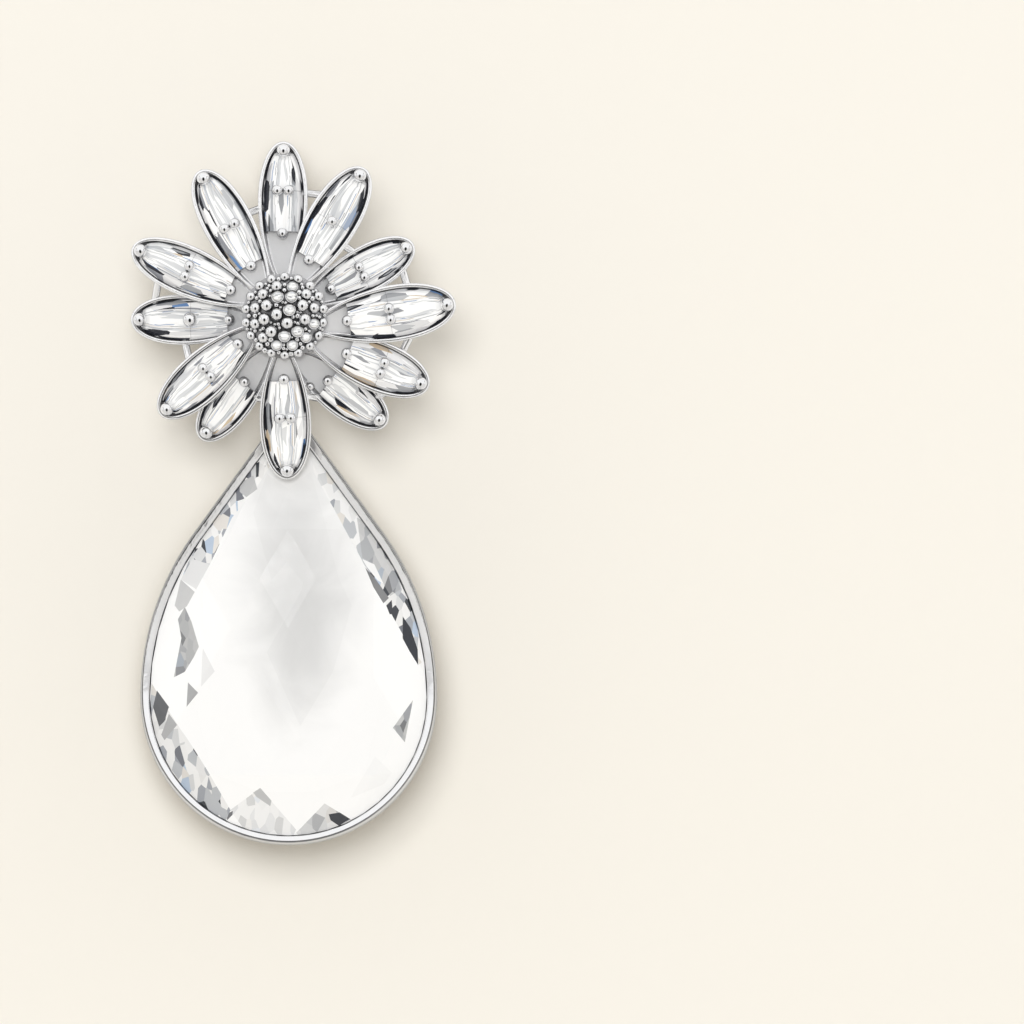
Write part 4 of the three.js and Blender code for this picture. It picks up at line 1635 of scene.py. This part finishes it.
@dataclass(frozen=True)
class Glint:
    """A facet seen in the drop's crown: the tone and break of its painted reflection, and its
    corners.

    The corners are right of the drop's middle line and up, in millimetres.
    """

    tone: float
    shatter: float
    corners: tuple[tuple[float, float], ...]

    def holds(self, x: float, z: float) -> bool:
        """Says whether a point lies within the facet."""
        inside = False
        for (ax, az), (bx, bz) in zip(self.corners, self.corners[1:] + self.corners[:1]):
            if (az > z) != (bz > z) and x < (bx - ax) * (z - az) / (bz - az) + ax:
                inside = not inside
        return inside


GLINTS = (
    Glint(0.0, 0, ((10.31, -26.91), (11, -27.9), (11.66, -29.88), (11.71, -31.31), (10.92, -30.03),
        (10.31, -28.89))),
    Glint(0.02, 0, ((8.83, -25.93), (9.32, -25.43), (9.44, -26.67), (9.15, -26.72))),
    Glint(0.97, 0, ((6.68, -21.73), (7.76, -22.22), (8.58, -23.95), (8.06, -23.66),
        (7.1, -22.47))),
    Glint(0.22, 0, ((6.92, -22.47), (7.96, -23.66), (9.07, -25.24), (8.58, -25.73),
        (7.71, -24.32))),
    Glint(0.62, 0.7, ((6.18, -17.98), (7.22, -18.64), (9.07, -21.73), (10.13, -24.45),
        (9.2, -25.06), (8.58, -23.95), (7.76, -22.22), (6.68, -21.61))),
    Glint(0.9, 1, ((2.16, -12.59), (3.52, -13.04), (6.73, -16.67), (9.44, -20.99), (11.29, -25.43),
        (12.16, -31.85), (10.31, -28.52), (6.73, -21.98), (2.28, -13.83))),
    Glint(0.62, 0, ((-4.38, -14.94), (-3.15, -14.2), (-2.78, -15.43), (-3.77, -16.17),
        (-4.38, -15.68))),
    Glint(0.8, 0, ((-8.63, -21.73), (-7.05, -22.22), (-8.28, -24.45), (-9.69, -23.58))),
    Glint(0.6, 0, ((-9.69, -23.58), (-8.43, -24.69), (-9.12, -25.98), (-9.82, -26.47),
        (-10.24, -25.93))),
    Glint(0.92, 1, ((-2.16, -12.59), (-3.89, -13.83), (-5.62, -15.93), (-7.3, -18.64),
        (-8.83, -21.61), (-9.62, -23.46), (-8.28, -24.49), (-7.05, -22.22), (-5.08, -18.03),
        (-2.78, -15.19), (-1.62, -13.33))),
    Glint(0.5, 0.6, ((-9.32, -26.05), (-8.7, -27.41), (-8.04, -29.63), (-8.53, -30.62),
        (-9.32, -31.9), (-10.31, -32.4), (-10.06, -31.11), (-9.62, -28.89), (-9.94, -27.16))),
    Glint(0.86, 0, ((-7.69, -29.75), (-6.61, -31.85), (-7.84, -33.23), (-7.77, -31.36))),
    Glint(0.4, 0, ((-9.03, -32.84), (-8.11, -33.78), (-9.15, -35.04))),
    Glint(0.1, 0, ((-11.84, -33.58), (-10.75, -35.06), (-11.15, -36.35), (-11.64, -36.84),
        (-12.19, -35.06))),
    Glint(0.42, 0, ((-10.75, -35.68), (-10.01, -36.67), (-11.15, -38.07), (-11.45, -37.58))),
    Glint(0.8, 1, ((-12.33, -32.96), (-10.01, -36.59), (-8.7, -38.52), (-7.3, -40.74),
        (-5.2, -44.37), (-5.62, -45.28), (-7.3, -44.69), (-9.45, -42.84), (-11, -40.49),
        (-11.99, -37.78), (-12.48, -35.56))),
    Glint(0.15, 0, ((-5.57, -44.69), (-4.98, -44.44), (-5.03, -44.79), (-5.52, -45.28))),
    Glint(0.52, 0, ((-3.15, -42.77), (-2.51, -42.35), (-1.5, -43.51), (-1.62, -44),
        (-2.85, -43.16))),
    Glint(0.88, 0.25, ((-5.25, -44.37), (-2.53, -42.37), (0.7, -46.12), (0.43, -46.72),
        (-2.16, -46.57), (-4.01, -46.05))),
    Glint(0.02, 0, ((3.64, -44.74), (4.63, -44.57), (5.59, -45.18), (4.55, -45.78),
        (3.81, -45.28))),
    Glint(0.72, 0.5, ((0.7, -46.42), (3.27, -43.75), (5.64, -45.23), (4.55, -45.97),
        (2.53, -46.67), (1.05, -46.81))),
    Glint(0.55, 0.7, ((11.24, -34.44), (9.44, -36.94), (10.5, -38.25))),
    Glint(0.965, 0, ((7.84, -39.51), (9.34, -40.99), (8.65, -42.02), (5.64, -43.26),
        (6.04, -42.47))),
    Glint(0.96, 0, ((1.22, -24.57), (4.06, -31.85), (1.1, -36.79), (-1.91, -30.12))),
    Glint(0.975, 0, ((0.06, -15.43), (2.04, -13.83), (3.27, -18.27), (4.55, -23.46),
        (1.34, -23.85), (-0.14, -22.03), (-1.67, -19.51))),
    Glint(0.96, 0, ((-1.91, -14.08), (0.06, -15.43), (-1.67, -19.51), (-0.14, -22.03),
        (-1.5, -23.66), (-3.15, -17.53))),
    Glint(0.97, 0, ((4.55, -23.46), (5.74, -25.93), (4.06, -31.85), (1.22, -24.57),
        (1.34, -23.85))),
)


@dataclass
class DropCut(CutRule):
    """Painted reflections: a clear middle, and facets along the rim that are grey, black or
    broken.
    """

    glints: tuple[Glint, ...]
    slack: float = 0.02
    crown_from: float = 0.05
    back_tone: float = 0.7

    def facet(self, centre: Vector, normal: Vector) -> Facet:
        """Gives the tone and break of one facet of the drop stone."""
        if normal.z < self.crown_from:
            return Facet(self.back_tone)
        for glint in self.glints:
            if glint.holds(centre.x, centre.y):
                return Facet(glint.tone, glint.shatter)
        return Facet(1.0)

    def score(self, work: bmesh.types.BMesh, frame: Matrix) -> None:
        """Cuts the glints' outlines into the crown."""
        inward = frame.inverted()
        turn = frame.to_3x3()
        for glint in self.glints:
            xs = [x for x, _ in glint.corners]
            zs = [z for _, z in glint.corners]
            for (ax, az), (bx, bz) in zip(glint.corners, glint.corners[1:] + glint.corners[:1]):
                near = []
                for face in work.faces:
                    if (inward.to_3x3() @ face.normal).z < self.crown_from:
                        continue
                    spots = [inward @ vert.co for vert in face.verts]
                    if max(p.x for p in spots) < min(xs) or min(p.x for p in spots) > max(xs):
                        continue
                    if max(p.y for p in spots) < min(zs) or min(p.y for p in spots) > max(zs):
                        continue
                    near.append(face)
                parts = {edge for face in near for edge in face.edges}
                corners = {vert for face in near for vert in face.verts}
                bmesh.ops.bisect_plane(
                    work,
                    geom=[*near, *parts, *corners],
                    dist=self.slack,
                    plane_co=frame @ Vector((ax, az, 0)),
                    plane_no=turn @ Vector((bz - az, ax - bx, 0)).normalized(),
                )


@dataclass
class Drop:
    """The drop: a closed bezel with its loop, and the pear-cut stone."""

    pear: PearShape = field(default_factory=PearShape)
    front_y: float = -1.6
    depth: float = 3.2
    width: float = 0.9
    back: float = 0.6
    stone_gap: float = 0.04
    dome: float = 1.55
    dome_lift: float = 0.25
    dome_middle: float = 0.2
    girdle_setback: float = 0.42
    lozenge_width: float = 5.12
    lozenge_height: float = 8.86
    lozenge_top_z: float = -10.2
    lozenge_rows: int = 12
    lozenge_columns: int = 4
    margin: float = 1.5

    # Inset from the outer edge at the top and at the bottom, depth from the front and how much
    # painted shade the silver gets
    bezel_rows = (
        (1.9, 1.9, 3.17, 0.0), (1.6, 1.6, 3.2, 0.0), (0.75, 0.75, 3.2, 0.0),
        (0.45, 0.45, 3.17, 0.0), (0.2, 0.2, 3.05, 0.0), (0.05, 0.05, 2.86, 0.0),
        (0.0, 0.0, 2.66, 0.0), (0.02, 0.02, 2.0, 0.0), (0.05, 0.08, 1.5, 0.0),
        (0.08, 0.17, 1.1, 0.0), (0.12, 0.28, 0.8, 0.0), (0.14, 0.36, 0.62, 0.1),
        (0.15, 0.42, 0.42, 0.4), (0.16, 0.43, 0.2, 0.1), (0.18, 0.45, 0.06, 0.0),
        (0.22, 0.475, 0.0, 0.0), (0.28, 0.51, 0.01, 0.0), (0.4, 0.59, 0.045, 0.0),
        (0.55, 0.68, 0.085, 0.0), (0.7, 0.77, 0.125, 0.0), (0.8, 0.84, 0.16, 0.0),
        (0.86, 0.88, 0.22, 0.3), (0.89, 0.9, 0.42, 0.8), (0.93, 0.93, 0.9, 0.9),
        (1.1, 1.1, 2.5, 0.5),
    )
    wall_rows: int = 10
    wall_start: float = 12.0

    def bezel(self, hang: Suspension, palette: Palette) -> bpy.types.Object:
        """Makes the bezel and its loop.

        Args:
            hang: The suspension, which says where the loop is.
            palette: The finishes.

        Returns:
            The piece.
        """
        foil, wall, back = 1, 2, 3
        skin = Skin()
        rings = []
        for high, low, depth, _ in self.bezel_rows:
            top_ring = self.pear.ring(high, self.front_y + depth)
            low_ring = self.pear.ring(low, self.front_y + depth)
            rings.append([a.lerp(b, self.lowness(a.z)) for a, b in zip(top_ring, low_ring)])
        skin.loft(rings, [row[3] for row in self.bezel_rows])
        count = len(rings[0])
        half = count // 2
        skin.kinds[-half:] = [foil] * half
        skin.kinds[-2 * half:-half] = [back] * half
        skin.kinds[: self.wall_rows * count] = [wall] * (self.wall_rows * count)
        loop = Vector((hang.hang_x, 0, hang.loop_z))
        skin.hoop(loop, hang.loop_radius, hang.wire, AXIS_X, (-142.0, 142.0))
        finishes = [palette.silver, palette.foil, palette.bezel_wall, palette.satin]
        return skin.made("drop_bezel_rim", finishes)

    def lowness(self, z: float) -> float:
        """Gives how near a height is to the drop's bottom, from 0 to 1."""
        share = (self.pear.widest_z + self.wall_start - z) / (self.pear.radius + self.wall_start)
        held = min(max(share, 0.0), 1.0)
        return held * held * (3 - 2 * held)

    def stone(self, crystal: bpy.types.Material) -> bpy.types.Object:
        """Makes the pear stone: level lozenges on a dome, a girdle and a pavilion.

        Args:
            crystal: The drop's crystal finish.

        Returns:
            The piece.
        """
        inset = self.width + self.stone_gap
        girdle_y = self.front_y + self.girdle_setback
        floor_y = self.front_y + self.depth - self.back
        ratio = (self.lozenge_width / self.lozenge_height) ** 2
        across = self.dome / (self.pear.radius - inset) ** 2
        middle_z = self.pear.widest_z + self.pear.radius * self.dome_middle
        points = []
        for row in range(self.lozenge_rows):
            z = self.lozenge_top_z - row * self.lozenge_height / 2
            for column in range(-self.lozenge_columns, self.lozenge_columns + 1):
                x = (column + (row % 2) / 2) * self.lozenge_width
                if not self.pear.holds(inset + self.margin, x, z):
                    continue
                fall = across * (x * x + ratio * (z - middle_z) ** 2)
                y = girdle_y - self.dome - self.dome_lift + fall
                points.append(Vector((self.pear.centre_x + x, y, z)))
        coarse = PearShape(steps=(3, 1, 5, 11))
        points += coarse.ring(inset, girdle_y)
        points += coarse.ring(inset + self.width, floor_y - self.back)
        points += coarse.ring(inset + 4 * self.width, floor_y - self.stone_gap)
        frame = Matrix.Translation((self.pear.centre_x, 0, 0)) @ Matrix.Rotation(
            math.pi / 2, 4, "X"
        )
        return faceted("pear_crystal", points, crystal, DropCut(GLINTS), frame)

    def build(self, hang: Suspension, palette: Palette) -> None:
        """Makes and hangs the drop."""
        settle(self.bezel(hang, palette), Body.DROP, Slot.SILVER, "drop_bezel")
        settle(self.stone(palette.drop_crystal), Body.DROP, Slot.DROP, "drop_stone")


@dataclass
class Studio:
    """The pale wall and floor, the soft lights and the camera."""

    view_width: float = 92.16
    view_x: float = 20.39
    view_z: float = -17.5
    focus_y: float = -3.0
    distance: float = 1200.0
    sensor: float = 36.0
    wall_y: float = 30.0
    floor_z: float = -92.0
    corner: float = 22.0
    reach: float = 1500.0
    paper: tuple[float, float, float] = (0.850, 0.821, 0.762)
    key_power: float = 4.05
    key_place: tuple[float, float, float] = (-14.0, -1000.0, 62.0)
    key_size: float = 140.0
    tent: float = 1.04
    tent_fill: float = 0.72
    mirrored_from: tuple[float, float, float] = (0.0, -5.0, -8.0)
    lens_low: float = 0.2
    lens_reach: tuple[float, float] = (0.36, 0.48)
    gap_at: float = 0.86
    gap_edge: tuple[float, float] = (0.01, 0.03)
    dark_gap: tuple[float, float, float] = (0.02, 0.02, 0.022)
    fibre: tuple[float, float, float] = (0.80, 0.765, 0.71)
    # What silver mirrors of the paper: its tone, the painted dark, and the reach and depth of the
    # painted shade near the earring
    mirrored_paper: tuple[float, float, float] = (0.86, 0.86, 0.865)
    mirrored_dark: tuple[float, float, float] = (0.02, 0.02, 0.02)
    mirror_shade_reach: tuple[float, float] = (28.0, 52.0)
    mirror_shade_depth: float = 0.88
    shade_tint: tuple[float, float, float] = (0.28, 0.23, 0.16)
    shade_half: float = 140.0
    shade_rise: float = 90.0
    shade_lean: tuple[float, float, float] = (-0.05, -1.0, 0.30)

    # Each shading sheet's place, how far it feels for silver before it, and its depth
    shades = ((2.2, 2.6, 0.66), (-2.2, 3.2, 0.60))

    def camera(self) -> None:
        """Makes the camera, which looks straight at the earring's front."""
        data = bpy.data.cameras.new("front_view")
        data.sensor_width = self.sensor
        data.lens = self.sensor * self.distance / self.view_width
        data.clip_start, data.clip_end = 0.05, 20.0
        made = linked("front_view", data)
        made.location = Vector((self.view_x, self.focus_y - self.distance, self.view_z)) * MM
        made.rotation_euler = (math.pi / 2, 0, 0)
        bpy.context.scene.camera = made

    def backdrop(self) -> None:
        """Makes the wall and floor as one sweep that is seen from its front only."""
        profile = [(-self.reach, self.floor_z), (self.wall_y - self.corner, self.floor_z)]
        for turn in quarter(12)[1:]:
            profile.append(
                (
                    self.wall_y - self.corner * (1 - math.sin(turn)),
                    self.floor_z + self.corner * (1 - math.cos(turn)),
                )
            )
        profile.append((self.wall_y, self.reach))
        points = [
            (x * MM, y * MM, z * MM) for y, z in profile for x in (-self.reach, self.reach)
        ]
        faces = [(2 * k, 2 * k + 1, 2 * k + 3, 2 * k + 2) for k in range(len(profile) - 1)]
        mesh = bpy.data.meshes.new("paper_sweep")
        mesh.from_pydata(points, [], faces)
        mesh.polygons.foreach_set("use_smooth", [True] * len(faces))
        mesh.materials.append(self.paper_material())
        linked("paper_sweep", mesh)

    def paper_material(self) -> bpy.types.Material:
        """Builds the cream paper, which lets light through from behind.

        To silver it is greyer, with painted shade near the earring and a painted dark patch
        where the photographer stands.

        Returns:
            The material.
        """
        material, graph = new_material("cream_paper")
        place = graph.millimetres()
        fibre = graph.noise(place, 1.4, 3.0)
        tone = graph.blended(fibre.eased(0.3, 0.7, 0.0, 0.03), self.paper, self.fibre)
        flat = graph.vector("MULTIPLY_ADD", place, (1.0, 0.0, 0.6), (0.0, 0.0, 10.0))
        mirrored = graph.seen_by("Is Glossy Ray")
        # For mirror rays only, the paper is painted dark near the earring, as shade, and at the
        # photographer's place
        near = graph.distance(flat).eased(*self.mirror_shade_reach, self.mirror_shade_depth, 0.0)
        way = graph.vector("NORMALIZE", graph.vector("SUBTRACT", place, self.mirrored_from))
        parts = graph.node("ShaderNodeSeparateXYZ", None, {0: way})
        lens = self.lens_share(graph, way) * (0.0 - graph.out(parts, 1)).eased(0.0, 0.1)
        tone = graph.blended(mirrored, tone, self.mirrored_paper)
        tone = graph.blended(near.most(lens) * mirrored, tone, self.mirrored_dark)
        paper = graph.given("ShaderNodeBsdfDiffuse", {"Color": tone})
        clear = graph.given("ShaderNodeBsdfTransparent")
        graph.finish(
            graph.given("ShaderNodeMixShader", {0: graph.behind(), 1: paper, 2: clear})
        )
        return material

    def contact_shade(self, y: float, reach: float, strength: float) -> None:
        """Makes a clear sheet behind the silver that deepens its shadow on the wall.

        Args:
            y: Where the sheet stands.
            reach: How far before it the silver may be.
            strength: The shade's depth where the silver is closest.
        """
        half = self.shade_half
        low, high = self.view_z - self.shade_rise, self.view_z + self.shade_rise
        mesh = bpy.data.meshes.new("contact_shade")
        corners = [(-half, low), (half, low), (half, high), (-half, high)]
        mesh.from_pydata(
            [(x * MM, y * MM, z * MM) for x, z in corners], [], [(0, 1, 2, 3)]
        )
        material, graph = new_material("contact_shade")
        lean = graph.given("ShaderNodeCombineXYZ", dict(enumerate(self.shade_lean)))
        near = graph.node(
            "ShaderNodeAmbientOcclusion",
            {"samples": 12},
            {"Distance": reach * MM, "Normal": lean},
        )
        shown = graph.seen_by("Is Camera Ray") * (1 - graph.behind())
        open_share = graph.out(near, "AO").eased(0.0, 1.0)
        depth = (1 - open_share) * shown * strength
        tint = graph.blended(depth, (1.0, 1.0, 1.0), self.shade_tint)
        graph.finish(graph.given("ShaderNodeBsdfTransparent", {0: tint}))
        mesh.materials.append(material)
        sheet = linked("contact_shade", mesh)
        sheet.visible_diffuse = False
        sheet.visible_glossy = False
        sheet.visible_transmission = False
        sheet.visible_shadow = False

    def lens_share(self, graph: Graph, way: Wire) -> Wire:
        """Gives how dark a direction is: the photographer's place, in front and below."""
        wide, high = self.lens_reach
        apart = graph.vector(
            "MULTIPLY_ADD", way, (1 / wide, 0.0, 1 / high), (0.0, 0.0, self.lens_low / high)
        )
        return graph.distance(apart).eased(0.88, 1.08, 1.0, 0.0)

    def world(self) -> None:
        """Makes the white tent round the earring, with dark gaps that silver mirrors."""
        world = bpy.data.worlds.new("soft_tent")
        bpy.context.scene.world = world
        world.use_nodes = True
        world.cycles.sampling_method = "NONE"
        graph = Graph(world.node_tree)
        way = graph.out(graph.node("ShaderNodeTexCoord"), "Generated")
        parts = graph.node("ShaderNodeSeparateXYZ", None, {0: way})
        x, y = (graph.out(parts, k) for k in range(2))
        before = (0.0 - y).eased(0.0, 0.1)
        dark = self.lens_share(graph, way) * before
        side_gap = (x.size() - self.gap_at).size().eased(*self.gap_edge, 1.0, 0.0)
        mirrored = graph.blended(dark.most(side_gap), (1.0, 1.0, 1.0), self.dark_gap)
        seen = graph.seen_by("Is Glossy Ray")
        colour = graph.blended(seen, (self.tent_fill,) * 3, mirrored)
        light = graph.given("ShaderNodeBackground", {"Color": colour, "Strength": self.tent})
        graph.node("ShaderNodeOutputWorld", None, {"Surface": light})

    def key(self) -> None:
        """Makes the key light, close beside the camera and a little above."""
        data = bpy.data.lights.new("key_light", "AREA")
        data.shape = "DISK"
        data.size = self.key_size * MM
        data.energy = self.key_power
        made = linked("key_light", data)
        made.location = Vector(self.key_place) * MM
        aim = Vector((0.0, 0.0, self.view_z)) * MM - made.location
        made.rotation_euler = aim.to_track_quat("-Z", "Y").to_euler()
        made.visible_glossy = False

    def build(self) -> None:
        """Makes the whole studio and sets how the picture is developed."""
        self.camera()
        self.backdrop()
        for place in self.shades:
            self.contact_shade(*place)
        self.world()
        self.key()
        scene = bpy.context.scene
        scene.view_settings.view_transform = "Standard"
        scene.cycles.max_bounces = 8
        scene.cycles.transmission_bounces = 6
        scene.cycles.glossy_bounces = 4
        scene.cycles.use_denoising = True


def finishes() -> Palette:
    """Makes the finishes of the whole earring.

    Returns:
        The palette.
    """
    return Palette(
        silver=SilverFinish("bright_silver").material(),
        satin=SilverFinish("satin_silver", roughness=0.24, smear=0.14, ripple=0.02).material(),
        # The dome's silver is painted dark as the shade between the stamens' beads
        dome_shade_silver=SilverFinish(
            "shadowed_silver", colour=(0.40, 0.40, 0.41), roughness=0.25, crevice=1.0, metallic=0.8
        ).material(),
        stamen_silver=SilverFinish(
            "stamen_silver", roughness=0.02, crevice_shade_depth=0.9
        ).material(),
        cup_floor=SilverFinish(
            "cup_floor_silver",
            colour=(0.80, 0.80, 0.805),
            roughness=0.4,
            metallic=0.25,
            crevice_shade_depth=0.4,
        ).material(),
        # Painted light: the bezel's outer wall takes a paler, mostly matt copy of the silver, so it
        # shows bright where polished silver would mirror the room
        bezel_wall=SilverFinish(
            "bezel_wall_silver",
            colour=(0.96, 0.965, 0.97),
            roughness=0.2,
            metallic=0.15,
            grain=0.01,
            ripple=0.02,
            crevice_shade_depth=0.0,
        ).material(),
        # Painted light: the petals' rims take a paler, partly matt copy of the silver so that they
        # read brighter
        petal_rim=SilverFinish(
            "petal_rim_silver",
            colour=(0.95, 0.95, 0.955),
            roughness=0.07,
            metallic=0.8,
            grain=0.02,
            crevice_shade_depth=0.5,
        ).material(),
        gem=PetalCrystalFinish(
            "stamen_crystal_cut",
            cells=(2.2, 4.0, 0.6),
            rim=(0.2, 1.5),
            rim_share=0.42,
            edge=(1.35, 1.45),
        ).material(),
        foil=SilverFinish("foil", roughness=0.3, ripple=0.02).material(),
        petal_crystal=PetalCrystalFinish("petal_crystal_cut").material(),
        drop_crystal=CrystalFinish("drop_crystal_cut").material(),
    )


def main() -> None:
    """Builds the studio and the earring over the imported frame."""
    logging.basicConfig(level=logging.INFO, format="%(name)s: %(message)s")
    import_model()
    Studio().build()
    palette = finishes()
    FlowerHead().build(palette)
    PetalStones().build(palette.petal_crystal)
    Stamens().build(palette)
    EarPost().build(palette.silver)
    hang = Suspension()
    hang.build(palette.silver)
    Drop().build(hang, palette)


if __name__ == "__main__":
    main()
